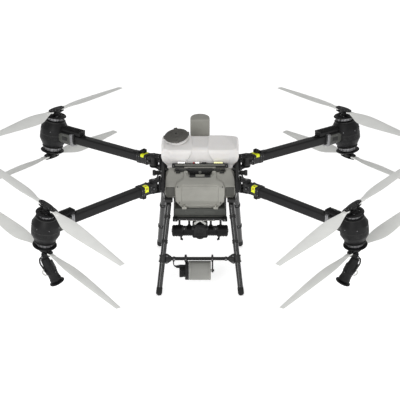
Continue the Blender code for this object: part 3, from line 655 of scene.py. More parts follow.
def build_battery():
    """The battery: raised centre panel, shoulders with rubber pads, foot tabs and latches."""
    low, high = corners_of("battery_pack")
    back = high.y
    base = low.z
    side = [(0.0, 0.0), (-0.093, 0.0), (-0.158, 0.068), (-0.166, 0.138), (-0.161, 0.156), (-0.150, 0.168),
            (-0.128, 0.180), (-0.088, 0.195), (-0.038, 0.212), (0.0, 0.218)]
    core_side = moved_outline(side, back, base)
    shoulder_side = moved_outline([(0.0, 0.0), (-0.076, 0.0), (-0.138, 0.068), (-0.146, 0.144), (-0.141, 0.157),
                                   (-0.128, 0.1665), (-0.034, 0.205), (0.0, 0.211)], back, base)
    core_front = mirrored_outline([(0.104, 0.0), (0.138, 0.066), (0.1405, 0.150), (0.133, 0.172), (0.094, 0.186),
                                   (0.088, 0.230)])
    wide_front = mirrored_outline([(0.108, 0.0), (0.141, 0.063), (0.143, 0.0855), (0.186, 0.0855),
                                   (0.199, 0.103), (0.199, 0.158), (0.196, 0.183), (0.172, 0.210), (0.150, 0.240)])
    core = plate(core_side, -0.25, 0.25, "YZ")
    core = combined(core, plate(moved_outline(core_front, 0, base), -0.4, 0.1, "XZ"), "INTERSECT")
    wide = plate(shoulder_side, -0.25, 0.25, "YZ")
    wide = combined(wide, plate(moved_outline(wide_front, 0, base), -0.4, 0.1, "XZ"), "INTERSECT")
    shell = combined(core, wide, "UNION")
    notch = mirrored_outline([(0.060, 0.1775), (0.0655, 0.187), (0.086, 0.258)])
    shell = combined(shell, plate(moved_outline(notch, 0, base), back - 0.054, back - 0.010, "XZ"), "DIFFERENCE")
    lip = mirrored_outline([(0.0600, 0.1900), (0.0660, 0.1920), (0.0900, 0.2070), (0.0940, 0.2580)])
    shell = combined(shell, plate(moved_outline(lip, 0, base), -0.4, back - 0.050, "XZ"), "DIFFERENCE")
    handle_low, handle_high = corners_of("battery_handle")
    for sign in (-1, 1):
        rest = block((sign * 0.050, handle_low.y - 0.005, base + 0.1975),
                     (sign * 0.147, handle_high.y + 0.005, base + 0.300))
        shell = combined(shell, rest, "DIFFERENCE")
        cut = [(0.150, 0.152), (0.143, 0.156), (0.143, 0.164), (0.158, 0.196), (0.175, 0.205), (0.186, 0.172)]
        cut = [(sign * x, z + base) for x, z in cut]
        shell = combined(shell, plate(cut, low.y - 0.01, low.y + 0.026, "XZ"), "DIFFERENCE")
        well = block((sign * 0.1445, low.y, base + 0.0905), (sign * 0.1955, low.y + 0.0265, base + 0.1500))
        shell = combined(shell, well, "DIFFERENCE")
    panel = mirrored_outline([(0.094, 0.024), (0.107, 0.044), (0.107, 0.152), (0.096, 0.170)])
    recess = [(-0.1115, 0.026), (-0.1515, 0.068), (-0.1595, 0.138), (-0.1545, 0.1555), (-0.1445, 0.1665),
              (-0.2000, 0.1665), (-0.2000, 0.026)]
    recess = plate(moved_outline(recess, back, base), -0.25, 0.25, "YZ")
    recess = combined(recess, plate(moved_outline(panel, 0, base), -0.4, 0.1, "XZ"), "INTERSECT")
    shell = combined(shell, recess, "DIFFERENCE")
    battery = Piece("battery_shell")
    battery.add(softened(shell, 0.0024, 3), "battery_grey")

    for sign in (-1, 1):
        y = low.y + 0.0190
        pad_low = (sign * 0.1450, y, base + 0.0910)
        pad_high = (sign * 0.1955, y + 0.010, base + 0.1495)
        battery.add(block(pad_low, pad_high, 0.0035, 3), "pad_dark")
        for i in range(7):
            z = base + 0.0970 + 0.0070 * i
            battery.add(block((sign * 0.150, y - 0.0014, z), (sign * 0.190, y + 0.002, z + 0.0026), 0.0008), "pad_dark")
        battery.add(block((sign * 0.0765, low.y + 0.0475, base + 0.001), (sign * 0.1035, low.y + 0.0870, base + 0.018),
                          0.003, 3), "battery_grey")
        battery.add(block((sign * 0.087, low.y + 0.040, base + 0.016), (sign * 0.093, low.y + 0.050, base + 0.030),
                          0.0015), "battery_panel")
        for x, z in ((0.118, 0.058), (0.128, 0.160)):
            place = Vector((sign * x, low.y + (0.0085 if z < 0.1 else 0.0012), base + z))
            battery.add(bolt(place, (0, -1, 0), 0.0034, 0.0016), "charcoal")
        latch = (sign * 0.112, handle_low.y - 0.020, base + 0.1985)
        battery.add(block(latch, (sign * 0.138, handle_low.y - 0.008, base + 0.2065), 0.002), "charcoal")
    # Black sheet on the floor of the handle notch: painted shade under the hanging grip.
    battery.add(block((-0.0585, back - 0.053, base + 0.1760), (0.0585, back - 0.011, base + 0.1786), 0.0006), "black")
    battery.add(block((-0.0600, back - 0.097, base + 0.1885), (0.0600, back - 0.054, base + 0.1910), 0.0006), "charcoal")
    # Black sheet on the front wall of the handle notch: painted shade inside the recess.
    battery.add(block((-0.0585, back - 0.0545, base + 0.1770), (0.0585, back - 0.0530, base + 0.1905), 0.0004), "black")
    battery.add(block((-0.026, back - 0.086, base + 0.1895), (0.026, back - 0.058, base + 0.1945), 0.0022, 3),
                "battery_panel")
    battery.add(block((-0.052, back - 0.016, base + 0.1785), (0.052, back - 0.0065, base + 0.2080), 0.003), "charcoal")
    for i in range(9):
        x = -0.044 + 0.011 * i
        battery.add(block((x - 0.0022, back - 0.0185, base + 0.182), (x + 0.0022, back - 0.013, base + 0.205), 0.0008),
                    "charcoal")
    battery.done("battery", ["battery_pack"], 40)


def build_handle():
    """The carry handle: end eyes, a bar and a hanging grip with finger ribs."""
    low, high = corners_of("battery_handle")
    middle = (low.y + high.y) / 2
    bar_z = high.z - 0.007
    handle = Piece("carry_grip")
    handle.add(block((low.x, low.y + 0.001, bar_z - 0.0065), (high.x, high.y - 0.001, bar_z + 0.0065), 0.003, 3),
               "charcoal")
    outline = mirrored_outline([(0.046, low.z), (0.052, low.z + 0.002), (0.057, low.z + 0.008),
                                (0.068, bar_z - 0.003), (0.068, bar_z + 0.004)])
    handle.add(plate(outline, low.y, high.y, "XZ", 0.0030, 3), "charcoal")
    for i in range(9):
        x = -0.036 + 0.009 * i
        handle.add(block((x - 0.0022, low.y - 0.0014, low.z + 0.003), (x + 0.0022, low.y + 0.002, bar_z - 0.004), 0.001),
                   "charcoal")
    handle.add(rod((0, low.y - 0.0045, bar_z - 0.012), (0, low.y + 0.003, bar_z - 0.012), 0.0085, 0.0095, 28, 0.0012),
               "pad_grey")
    for sign in (-1, 1):
        x = sign * (high.x - 0.008)
        handle.add(rod((x - 0.005, middle, bar_z), (x + 0.005, middle, bar_z), 0.0088, segments=28, width=0.0012),
                   "charcoal")
        for i in range(5):
            x = sign * (0.084 + 0.008 * i)
            handle.add(block((x - 0.0016, low.y, bar_z - 0.0072), (x + 0.0016, high.y, bar_z + 0.0072), 0.0007),
                       "dark_grey")
    handle.done("carry_handle", ["battery_handle"])


# Centre structure

def build_centre():
    """Beam, side plates, rails, bulkheads, stubs, lights and screws."""
    low, high = corners_of("centre_frame")
    beam_y = 0.5 * (corners_of("battery_pack")[1].y + corners_of("spray_tank")[0].y)
    root_low, root_high = corners_of("arm_root_nose_right")
    outer = root_low.x - 0.0005
    inner = outer - 0.0185
    top = high.z
    centre = Piece("frame_structure")
    y0 = beam_y - 0.009
    y1 = beam_y + 0.007
    for sign in (-1, 1):
        centre.add(block((sign * 0.1600, y0, top - 0.1660), (sign * outer, y1, top - 0.034), 0.002), "carbon")
        centre.add(block((sign * inner, low.y, top - 0.093), (sign * outer, low.y + 0.440, top - 0.028), 0.003), "carbon")
        centre.add(block((sign * 0.1905, y1 + 0.100, top - 0.163), (sign * 0.2145, high.y - 0.014, top - 0.083), 0.003),
                   "charcoal")
        centre.add(block((sign * 0.1555, low.y + 0.028, top - 0.1660), (sign * 0.2035, y0 + 0.006, top - 0.1468), 0.003),
                   "charcoal")
        centre.add(block((sign * 0.1895, y1 - 0.004, top - 0.1660), (sign * 0.2195, y1 + 0.110, top - 0.073), 0.003),
                   "charcoal")
        centre.add(block((sign * 0.1000, high.y - 0.012, top - 0.168), (sign * 0.2000, high.y - 0.0002, top - 0.088),
                         0.002), "charcoal")
        for i in range(4):
            y = low.y + 0.026 + 0.055 * i
            centre.add(bolt((sign * (outer - 0.0005), y, top - 0.040), (sign, 0, 0), 0.0042), "steel")
            centre.add(bolt((sign * (outer - 0.0005), y, top - 0.082), (sign, 0, 0), 0.0042), "steel")
        for y in (low.y + 0.045, low.y + 0.105, low.y + 0.165):
            centre.add(bolt((sign * 0.2030, y, top - 0.1565), (sign, 0, 0), 0.0040), "steel")
        for z in (top - 0.105, top - 0.140):
            centre.add(bolt((sign * 0.2190, y1 + 0.050, z), (sign, 0, 0), 0.0045), "steel")
        stub_y = 0.5 * (y0 + y1) + 0.030
        stub_z = top - 0.070
        stub = [(0.0130, 0.0), (0.0130, 0.044), (0.0170, 0.046), (0.0170, 0.0610), (0.0155, 0.0625), (0.0080, 0.0625),
                (0.0070, 0.0600)]
        turn = Vector((sign, 0, 0)).to_track_quat("Z", "Y").to_matrix().to_4x4()
        centre.add(turned(stub, 28, 0.0006), "charcoal", Matrix.Translation((sign * 0.210, stub_y, stub_z)) @ turn)
        hook = smooth_route([(sign * 0.236, stub_y - 0.012, stub_z), (sign * 0.243, stub_y - 0.022, stub_z - 0.010),
                             (sign * 0.247, stub_y - 0.024, stub_z - 0.026),
                             (sign * 0.243, stub_y - 0.018, stub_z - 0.036)])
        centre.add(pipe(hook, 0.0042, 12), "charcoal")
    centre.add(block((-0.1500, y0, top - 0.2305), (0.1500, y1, top - 0.155), 0.002), "carbon")
    beam = block((-0.1605, y0, top - 0.043), (0.1605, y1, top), 0.0025)
    centre.add(beam, "charcoal")
    lip = block((-0.1500, y0 - 0.0035, top - 0.0115), (0.1500, y0 + 0.004, top - 0.0015), 0.0015)
    centre.add(lip, "trim_grey")
    for sign in (-1, 1):
        centre.add(block((sign * 0.142, y0 - 0.006, top - 0.020), (sign * 0.1605, y0 + 0.004, top + 0.0035), 0.002, 3),
                   "charcoal")
        centre.add(bolt((sign * 0.1515, y0 - 0.0055, top - 0.009), (0, -1, 0), 0.0038), "steel")
        centre.add(rod((sign * 0.030, y0 - 0.004, top - 0.024), (sign * 0.092, y0 - 0.004, top - 0.024), 0.0032,
                       segments=12), "black")
    for i in range(8):
        x = -0.105 + 0.030 * i
        centre.add(block((x - 0.010, y0 - 0.0012, top - 0.036), (x + 0.010, y0 + 0.002, top - 0.029), 0.001), "black")
    centre.add(block((-0.2145, high.y - 0.021, top - 0.183), (0.2145, high.y - 0.0035, top - 0.073), 0.002), "carbon")
    centre.done("root", ["centre_frame"])

    lights = Piece("status_lights")
    z = top + 0.0002
    y = y0 + 0.003
    for start, end, surface in ((-0.128, -0.086, "lamp_white"), (0.079, 0.130, "lamp_amber"),
                                (-0.041, -0.031, "lamp_red"), (-0.027, -0.004, "lamp_white"),
                                (0.010, 0.036, "dark_glass")):
        lights.add(block((start - 0.002, y - 0.002, z - 0.002), (end + 0.002, y + 0.010, z + 0.003), 0.001), "charcoal")
        count = max(1, round((end - start) / 0.011))
        for i in range(count):
            left = start + (end - start) * i / count
            right = start + (end - start) * (i + 1) / count
            lights.add(block((left + 0.0005, y, z + 0.001), (right - 0.0005, y + 0.008, z + 0.0085), 0.0018, 3), surface)
    lights.done("root")


def tower_ring(middle, half, back, scale, z, corner=0.011):
    """The tower's flat-backed outline at one height."""
    points = []
    for i in range(5):
        angle = math.radians(180 + 90 * i / 4)
        points.append((-half + corner + corner * math.cos(angle), back + corner + corner * math.sin(angle)))
    for i in range(5):
        angle = math.radians(270 + 90 * i / 4)
        points.append((half - corner + corner * math.cos(angle), back + corner + corner * math.sin(angle)))
    points += arc(half, (0.0, back + 0.044), 6, 168, 21)
    return [(x * scale, middle + (y - middle) * scale, z) for x, y in points]


def build_tower():
    """The nose tower: a flat-backed column with a domed cap, a lens window, side ribs and a foot band."""
    low, high = corners_of("nose_tower")
    middle = (low.y + high.y) / 2
    half = high.x
    crown = high.z - 0.0145
    tower = Piece("nose_column")
    steps = [(1.0, low.z), (1.0, crown - 0.0130), (0.995, crown - 0.0090), (0.975, crown - 0.0055), (0.94, crown - 0.0032),
             (0.86, crown - 0.0016), (0.60, crown - 0.0004), (0.20, crown)]
    rings = [tower_ring(middle, half, low.y, scale, z) for scale, z in steps]
    tower.add(edges_rounded(rings_joined(rings), 0.0), "tower_grey")
    window = [tower_ring(middle, half * 1.012, low.y, 1.0, z) for z in (crown - 0.115, crown - 0.075)]
    cut = block((-0.1, low.y - 0.02, crown - 0.3), (0.1, low.y + 0.066, crown))
    tower.add(combined(edges_rounded(rings_joined(window), 0.001), cut, "DIFFERENCE"), "dark_glass")
    for sign in (-1, 1):
        for i in range(4):
            z = low.z + 0.060 + 0.012 * i
            tower.add(block((sign * (half - 0.002), middle - 0.016, z), (sign * (half + 0.0012), middle + 0.016, z + 0.005),
                            0.001), "charcoal")
    tower.add(block((-half - 0.002, low.y + 0.004, low.z), (half + 0.002, low.y + 0.030, low.z + 0.016), 0.003), "charcoal")
    tower.done("root", ["nose_tower"], 40)


def build_belly():
    """The housing under the battery: lid seam, vents, plate, corner blocks and screws."""
    low, high = corners_of("belly_housing")
    belly = Piece("belly_case")
    z = low.z + 0.004
    shell = mirrored_outline([(0.1415, z + 0.010), (0.1465, z + 0.016), (0.1465, z + 0.060), (0.140, high.z)])
    belly.add(plate(shell, low.y + 0.028, low.y + 0.330, "XZ", 0.004, 3), "dark_grey")
    belly.add(block((-0.1480, low.y + 0.0265, z + 0.0225), (0.1480, low.y + 0.3315, z + 0.0250), 0.0008), "charcoal")
    belly.add(block((-0.1520, low.y + 0.008, z), (0.1520, high.y, z + 0.0135), 0.0025), "charcoal")
    belly.add(block((-0.1195, low.y + 0.150, low.z), (0.1195, low.y + 0.330, z + 0.006), 0.0015), "charcoal")
    for sign in (-1, 1):
        belly.add(block((sign * 0.1275, low.y + 0.0002, low.z + 0.0002), (sign * 0.1563, low.y + 0.0315, z + 0.0175),
                        0.003, 3), "black")
        belly.add(bolt((sign * 0.1420, low.y + 0.0008, low.z + 0.011), (0, -1, 0), 0.0042), "steel")
        for i in range(3):
            x = sign * (0.040 + 0.038 * i)
            belly.add(bolt((x, low.y + 0.0085, z + 0.0068), (0, -1, 0), 0.0026, 0.0012), "steel")
        for i in range(6):
            y = low.y + 0.080 + 0.030 * i
            belly.add(block((sign * 0.1445, y, z + 0.032), (sign * 0.1481, y + 0.018, z + 0.0365), 0.001), "black")
            belly.add(block((sign * 0.1445, y, z + 0.042), (sign * 0.1481, y + 0.018, z + 0.0465), 0.001), "black")
        belly.add(bolt((sign * 0.100, low.y + 0.180, low.z + 0.0002), (0, 0, -1), 0.0045, 0.0010), "steel")
        belly.add(bolt((sign * 0.100, low.y + 0.310, low.z + 0.0002), (0, 0, -1), 0.0045, 0.0010), "steel")
        belly.add(block((sign * 0.022, low.y + 0.0262, z + 0.030), (sign * 0.088, low.y + 0.031, z + 0.052), 0.0025),
                  "dark_grey")
    belly.add(block((-0.070, low.y + 0.0120, low.z - 0.0000), (-0.024, low.y + 0.060, z + 0.0001), 0.001), "battery_panel")
    belly.add(block((0.024, low.y + 0.0120, low.z - 0.0000), (0.086, low.y + 0.060, z + 0.0001), 0.001), "battery_panel")
    for sign in (-1, 1):
        belly.add(block((sign * 0.028, low.y + 0.160, low.z - 0.040), (sign * 0.108, low.y + 0.184, low.z + 0.001), 0.003, 3),
                  "pad_grey")
        for i in range(4):
            x = sign * (0.036 + 0.020 * i)
            belly.add(block((x - 0.004, low.y + 0.1585, low.z - 0.034), (x + 0.004, low.y + 0.161, low.z - 0.008), 0.001),
                      "pad_dark")
    belly.done("root", ["belly_housing"])


def ribbed(start, end, radius, ribs, depth, segments=28):
    """A round body between two points with raised ribs."""
    start = Vector(start)
    end = Vector(end)
    length = (end - start).length
    profile = [(radius - 0.002, 0.0), (radius, 0.002)]
    for i in range(ribs):
        middle = length * (i + 0.5) / ribs
        width = length * 0.22 / ribs
        profile += [(radius, middle - width - 0.0006), (radius + depth, middle - width),
                    (radius + depth, middle + width), (radius, middle + width + 0.0006)]
    profile += [(radius, length - 0.002), (radius - 0.002, length)]
    shape = turned(profile, segments)
    turn = (end - start).to_track_quat("Z", "Y").to_matrix().to_4x4()
    shape.transform(Matrix.Translation(start) @ turn)
    return shape


def build_pumps():
    """Two pumps, the manifold between them, posts, barbs, elbows and flow meter."""
    low, high = corners_of("pump_manifold")
    drop = low.z + 0.046
    y = (low.y + high.y) / 2
    pumps = Piece("pump_set")
    pumps.add(block((-0.044, low.y + 0.001, low.z + 0.012), (0.044, high.y - 0.001, low.z + 0.097), 0.009, 3), "black")
    pumps.add(block((-0.034, low.y - 0.0010, low.z + 0.026), (0.034, low.y + 0.006, low.z + 0.082), 0.004, 3), "charcoal")
    pumps.add(ribbed((0, y, low.z + 0.0005), (0, y, low.z + 0.022), 0.0215, 2, 0.0015), "black")
    pumps.add(rod((0, y, low.z - 0.006), (0, y, low.z + 0.004), 0.007, 0.010, 18, 0.001), "charcoal")
    for i in range(6):
        angle = math.tau * i / 6
        place = Vector((0.026 * math.cos(angle), low.y - 0.0005, drop + 0.008 + 0.022 * math.sin(angle)))
        pumps.add(bolt(place, (0, -1, 0), 0.0026), "charcoal")
    pumps.add(rod((0, low.y - 0.004, drop + 0.008), (0, low.y + 0.004, drop + 0.008), 0.013, segments=32, width=0.0012),
              "charcoal")
    for sign in (-1, 1):
        pumps.add(ribbed((sign * 0.040, y, drop), (sign * 0.096, y, drop), 0.0285, 5, 0.0012), "black")
        pumps.add(ribbed((sign * 0.096, y, drop), (sign * 0.1575, y, drop), 0.0325, 4, 0.0016), "black")
        cap = [(0.030, 0.0), (0.026, 0.004), (0.012, 0.0045), (0.010, 0.0065), (0.004, 0.0068)]
        turn = Vector((sign, 0, 0)).to_track_quat("Z", "Y").to_matrix().to_4x4()
        pumps.add(turned(cap, 28, 0.0004), "charcoal", Matrix.Translation((sign * 0.1570, y, drop)) @ turn)
        for i in range(6):
            angle = math.tau * (i + 0.5) / 6
            head = Vector((sign * 0.1572, y + 0.027 * math.cos(angle), drop + 0.027 * math.sin(angle)))
            pumps.add(bolt(head, (sign, 0, 0), 0.0026), "steel")
        for x in (0.062, 0.118):
            foot = Vector((sign * x, y, drop + 0.024))
            pumps.add(rod(foot, (sign * x, y, high.z - 0.0005), 0.0065, segments=18, width=0.001), "charcoal")
            pumps.add(rod((sign * x, y, high.z - 0.008), (sign * x, y, high.z - 0.0004), 0.0105, segments=6, width=0.001),
                      "charcoal")
            pumps.add(rod(foot + Vector((0, 0, 0.004)), foot + Vector((0, 0, 0.012)), 0.0110, segments=24, width=0.001),
                      "black")
        pumps.add(block((sign * 0.076, low.y + 0.001, drop + 0.016), (sign * 0.104, low.y + 0.020, drop + 0.036), 0.003, 3),
                  "charcoal")
        barb = smooth_route([(sign * 0.110, y - 0.010, drop - 0.026), (sign * 0.108, y - 0.016, drop - 0.038),
                             (sign * 0.104, y - 0.024, drop - 0.043)])
        pumps.add(pipe(barb, 0.0055, 14), "charcoal")
        pumps.add(rod((sign * 0.112, y - 0.022, drop - 0.0405), (sign * 0.098, y - 0.026, drop - 0.0450), 0.0062,
                      segments=16, width=0.0008), "black")
        elbow = smooth_route([(sign * 0.040, y - 0.026, drop + 0.024), (sign * 0.041, y - 0.040, drop + 0.030),
                              (sign * 0.0385, y - 0.0435, drop + 0.0420)])
        pumps.add(pipe(elbow, 0.0080, 16), "charcoal")
        pumps.add(bolt((sign * 0.090, low.y + 0.0014, drop + 0.026), (0, -1, 0), 0.0036), "steel")
    pumps.done("root", ["pump_manifold"])

    hose = Piece("pump_link_hose")
    hose_low, hose_high = corners_of("pump_hose")
    middle = (hose_low.y + hose_high.y) / 2
    foot = hose_low.z + 0.001
    crest = hose_high.z - 0.007
    half = [(0.0370, foot), (0.0290, foot + 0.011), (0.0140, foot + 0.023)]
    route = [(-x, middle, z) for x, z in half] + [(0, middle, crest)] + [(x, middle, z) for x, z in reversed(half)]
    hose.add(pipe(smooth_route(route), 0.0070, 18), "hose")
    for sign in (-1, 1):
        start = Vector((sign * 0.0372, middle, foot - 0.0005))
        hose.add(rod(start, start + Vector((-sign * 0.0060, 0, 0.0082)), 0.0088, segments=18, width=0.0008), "charcoal")
    hose.done("root", ["pump_hose"])


# Landing gear and radar

LEG_RADIUS = 0.0165
LEG_TOPS = {-1: (0.1760, -0.130, 0.510), 1: (0.2100, 0.120, 0.420)}
FOOT_REACH = {-1: 0.0178, 1: 0.0192}    # from a foot's centre to its outermost point


def leg_axis(side, end):
    """The foot and top of a leg's centre line."""
    low, high = corners_of("landing_gear_right")
    y = (low.y if end < 0 else high.y) - end * FOOT_REACH[end]
    foot = Vector((side * (high.x - LEG_RADIUS + 0.0004), y, 0.0))
    x, y, z = LEG_TOPS[end]
    return foot, Vector((side * x, y, z))


def leg_at(side, end, z):
    """A point on a leg's centre line at one height."""
    foot, top = leg_axis(side, end)
    return foot + (top - foot) * ((z - foot.z) / (top.z - foot.z))


def build_landing_gear():
    """Each side: a tube bent up, under the frame and down, with collars, saddles and feet."""
    for side, word in ((-1, "left"), (1, "right")):
        high = corners_of("landing_gear_" + word)[1]
        rail_z = high.z - LEG_RADIUS + 0.0004
        gear = Piece("leg_set_" + word)
        tail = leg_at(side, -1, rail_z)
        nose = leg_at(side, 1, rail_z)
        along = (nose - tail).normalized()
        lengths = (0.024, 0.10, 0.18, 0.26, 0.34, 0.42, rail_z - 0.022, rail_z - 0.009)
        route = [leg_at(side, -1, z) for z in lengths]
        route += [tail + along * 0.010, tail + along * 0.024]
        route += [tail.lerp(nose, t) for t in (0.3, 0.5, 0.7)]
        route += [nose - along * 0.024, nose - along * 0.010]
        route += [leg_at(side, 1, z) for z in reversed(lengths)]
        gear.add(pipe(smooth_route(route, 5), LEG_RADIUS - 0.0004, 28), "leg_tube")
        for end in (-1, 1):
            foot, top = leg_axis(side, end)
            line = (top - foot).normalized()
            collars = (0.2760, 0.4080) if end < 0 else (0.1650, 0.3400)
            for z in collars:
                start = leg_at(side, end, z)
                gear.add(ribbed(start, start + line * 0.024, LEG_RADIUS + 0.0010, 2, 0.0020), "charcoal")
                screw = start + line * 0.012 + Vector((0, -LEG_RADIUS - 0.0028, 0))
                gear.add(bolt(screw, (0, -1, 0), 0.0036), "steel")
            shoe = leg_at(side, end, LEG_RADIUS)
            turn = line.to_track_quat("Z", "Y").to_matrix().to_4x4()
            dome = [(0.0172 * math.cos(math.radians(a)), 0.0160 * math.sin(math.radians(a))) for a in range(-80, 0, 10)]
            sock = dome + [(0.0176, 0.000), (0.0176, 0.030), (0.0168, 0.0325)]
            gear.add(turned(sock, 40), "rubber", Matrix.Translation(shoe) @ turn)
        for t in (0.30, 0.72):
            place = tail.lerp(nose, t)
            gear.add(rod(place - along * 0.011, place + along * 0.011, LEG_RADIUS + 0.0012, segments=36, width=0.0010),
                     "charcoal")
            gear.add(bolt(place + Vector((side * (LEG_RADIUS + 0.0010), 0, 0)), (side, 0, 0), 0.0040), "steel")
        gear.done("root", ["landing_gear_" + word])


def build_crossbar():
    """The bar between the tail legs: flared ends, leg clamps and the radar's two arms."""
    drum_low, drum_high = corners_of("radar_drum")
    bar_low, bar_high = corners_of("radar_crossbar")
    y = (drum_low.y + drum_high.y) / 2
    z = bar_high.z - 0.0190
    drum_z = (drum_low.z + drum_high.z) / 2
    end_x = bar_high.x
    bar = Piece("radar_mount")
    bar.add(rod((-end_x + 0.01, y, z), (end_x - 0.01, y, z), 0.0098, segments=32), "carbon")
    for sign in (-1, 1):
        line = (leg_axis(sign, -1)[1] - leg_axis(sign, -1)[0]).normalized()
        flare = [(0.0112, 0.0), (0.0118, 0.010), (0.0140, 0.020), (0.0180, 0.0295), (0.0186, 0.0315)]
        turn = Vector((sign, 0, 0)).to_track_quat("Z", "Y").to_matrix().to_4x4()
        bar.add(turned(flare, 32, 0.0006), "charcoal", Matrix.Translation((sign * (end_x - 0.0318), y, z)) @ turn)
        centre = leg_at(sign, -1, z)
        for shift in (-1, 1):
            start = centre + line * (shift * 0.0165 - 0.0050)
            bar.add(rod(start, start + line * 0.0100, LEG_RADIUS + 0.0055, segments=32, width=0.0012), "charcoal")
        bar.add(rod(centre - line * 0.013, centre + line * 0.013, LEG_RADIUS + 0.0030, segments=32), "charcoal")
        reach = centre.x - sign * (LEG_RADIUS - 0.002)
        gusset = [(reach, z - 0.0300), (reach, z + 0.0300), (reach - sign * 0.012, z + 0.0290),
                  (reach - sign * 0.036, z + 0.0120), (reach - sign * 0.036, z - 0.0120), (reach - sign * 0.012, z - 0.0290)]
        bar.add(plate(gusset, y - 0.0070, y + 0.0070, "XZ", 0.0020, 3), "charcoal")
        for lift in (-0.0185, 0.0185):
            bar.add(bolt((reach - sign * 0.0100, y - 0.0068, z + lift), (0, -1, 0), 0.0042), "steel")
        collar = Vector((sign * (end_x - 0.046), y, z))
        bar.add(rod(collar - Vector((0.007, 0, 0)), collar + Vector((0.007, 0, 0)), 0.0125, segments=28, width=0.0012),
                "charcoal")
        bar.add(bolt(collar + Vector((0, -0.0118, 0)), (0, -1, 0), 0.0046), "aluminium")
    for x, wide, drop_y in ((-0.0815, 0.0075, 0.0155), (0.0705, 0.0065, 0.0135)):
        bar.add(block((x - wide, y - drop_y, z - 0.015), (x + wide, y + drop_y, z + 0.0150), 0.003, 3), "charcoal")
        bar.add(block((x - wide * 0.8, y - 0.009, z + 0.012), (x + wide * 0.8, y + 0.009, z + 0.0230), 0.0025, 3), "charcoal")
        bar.add(bolt((x, y, z + 0.0225), (0, 0, 1), 0.0038, 0.0020), "steel")
        bar.add(bolt((x, y - drop_y + 0.0004, z), (0, -1, 0), 0.0036), "steel")
    bar.add(block((-0.0865, y - 0.0115, drum_high.z + 0.0006), (-0.0695, y + 0.0115, z - 0.004), 0.0025), "charcoal")
    bar.add(block((0.0670, y - 0.0098, drum_z - 0.010), (0.0758, y + 0.0098, z - 0.004), 0.0020), "charcoal")
    bar.add(rod((0.0668, y, drum_z), (0.0762, y, drum_z), 0.0125, segments=32, width=0.0012), "charcoal")
    bar.add(rod((0.0758, y, drum_z), (0.0812, y, drum_z), 0.0070, segments=6, width=0.0008), "charcoal")
    bar.done("root", ["radar_crossbar"])


def build_radar():
    """The radar: a turning drum, its stepped drive, and the lead with its plug."""
    low, high = corners_of("radar_drum")
    y = (low.y + high.y) / 2
    z = (low.z + high.z) / 2
    radius = (high.z - low.z) / 2
    along = Matrix.Rotation(math.radians(90), 4, "Y")
    place = Matrix.Translation((0, y, z)) @ along
    drum = Piece("radar_dome")
    end = 0.0622
    profile = [(radius - 0.0040, -0.0633), (radius - 0.0012, -0.0625), (radius, -0.0605), (radius, -0.0500),
               (radius - 0.0008, -0.0495), (radius - 0.0008, -0.0485), (radius, -0.0480), (radius, 0.0460),
               (radius - 0.0008, 0.0465), (radius - 0.0008, 0.0475), (radius, 0.0480), (radius, end - 0.0030),
               (radius - 0.0015, end - 0.0008), (radius - 0.006, end), (radius - 0.010, end - 0.0020), (0.020, end - 0.0020),
               (0.018, end), (0.009, end), (0.0078, end + 0.0035)]
    drum.add(turned(profile, 72), "radar_grey", place)
    for i in range(4):
        angle = math.tau * (i + 0.5) / 4
        spot = Vector((end - 0.0022, y + 0.034 * math.cos(angle), z + 0.034 * math.sin(angle)))
        drum.add(bolt(spot, (1, 0, 0), 0.0032, 0.0014), "steel")
    drum.add(block((-0.045, y - 0.0035, z - radius - 0.0004), (0.043, y + 0.0035, z - radius + 0.003), 0.0006), "radar_grey")
    drum.done("radar", ["radar_drum"])

    motor = Piece("radar_drive")
    profile = [(radius - 0.0015, -0.0642), (radius - 0.0003, -0.0650), (radius - 0.0003, -0.0825), (radius - 0.002, -0.0842),
               (0.0440, -0.0850), (0.0420, -0.0838), (0.0200, -0.0838)]
    motor.add(turned(profile, 64), "black", place)
    lower = Matrix.Translation((0, 0, -0.009)) @ place
    cap = [(0.0310, -0.0820), (0.0310, -0.0870), (0.0300, -0.0880), (0.0300, -0.0985), (0.0310, -0.0995), (0.0310, -0.1160),
           (0.0295, -0.1180), (0.0150, -0.1180), (0.0140, -0.1165)]
    motor.add(turned(cap, 48), "black", lower)
    for i in range(6):
        angle = math.tau * (i + 0.25) / 6
        spot = Vector((-0.0842, y + 0.0490 * math.cos(angle), z + 0.0490 * math.sin(angle)))
        motor.add(bolt(spot, (-1, 0, 0), 0.0030), "charcoal")
    for i in range(12):
        turn = Matrix.Rotation(math.tau * i / 12, 4, "Z")
        motor.add(block((0.0280, -0.0012, -0.1145), (0.0320, 0.0012, -0.1005), 0.0005), "charcoal", lower @ turn)
    socket = [(-0.1380, z + 0.0185), (-0.1240, z + 0.0165), (-0.0830, z + 0.0165), (-0.0830, z + 0.0335),
              (-0.1140, z + 0.0335), (-0.1200, z + 0.0315), (-0.1380, z + 0.0285)]
    motor.add(plate(socket, y - 0.0078, y + 0.0078, "XZ", 0.0022, 3), "black")
    motor.add(block((-0.1190, y - 0.0084, z + 0.0190), (-0.1150, y + 0.0084, z + 0.0325), 0.0010), "charcoal")
    motor.done("root", ["radar_motor"])

    cable_low, cable_high = corners_of("radar_cable")
    top = cable_high.z
    bottom = cable_low.z + 0.0035
    left = cable_low.x + 0.0035
    cable = Piece("radar_lead")
    route = smooth_route([(left + 0.0005, y, top), (left, y, bottom + 0.0235), (left + 0.0010, y, bottom + 0.0125),
                          (left + 0.0050, y, bottom + 0.0035), (left + 0.0095, y, bottom + 0.0005),
                          (left + 0.0130, y, bottom)])
    cable.add(pipe(route, 0.0030, 16), "rubber")
    cable.add(rod((left + 0.0134, y, bottom), (left + 0.0070, y, bottom + 0.0012), 0.0058, 0.0042, 20, 0.0006), "black")
    cable.add(rod((left + 0.0005, y, top - 0.008), (left + 0.0005, y, top + 0.0003), 0.0052, 0.0062, 20, 0.0006), "charcoal")
    cable.done("root", ["radar_cable"])


# Arms

LUG = 0.0295        # half the gap between an arm root's lugs
HALF = 0.026        # half the arm tube's width


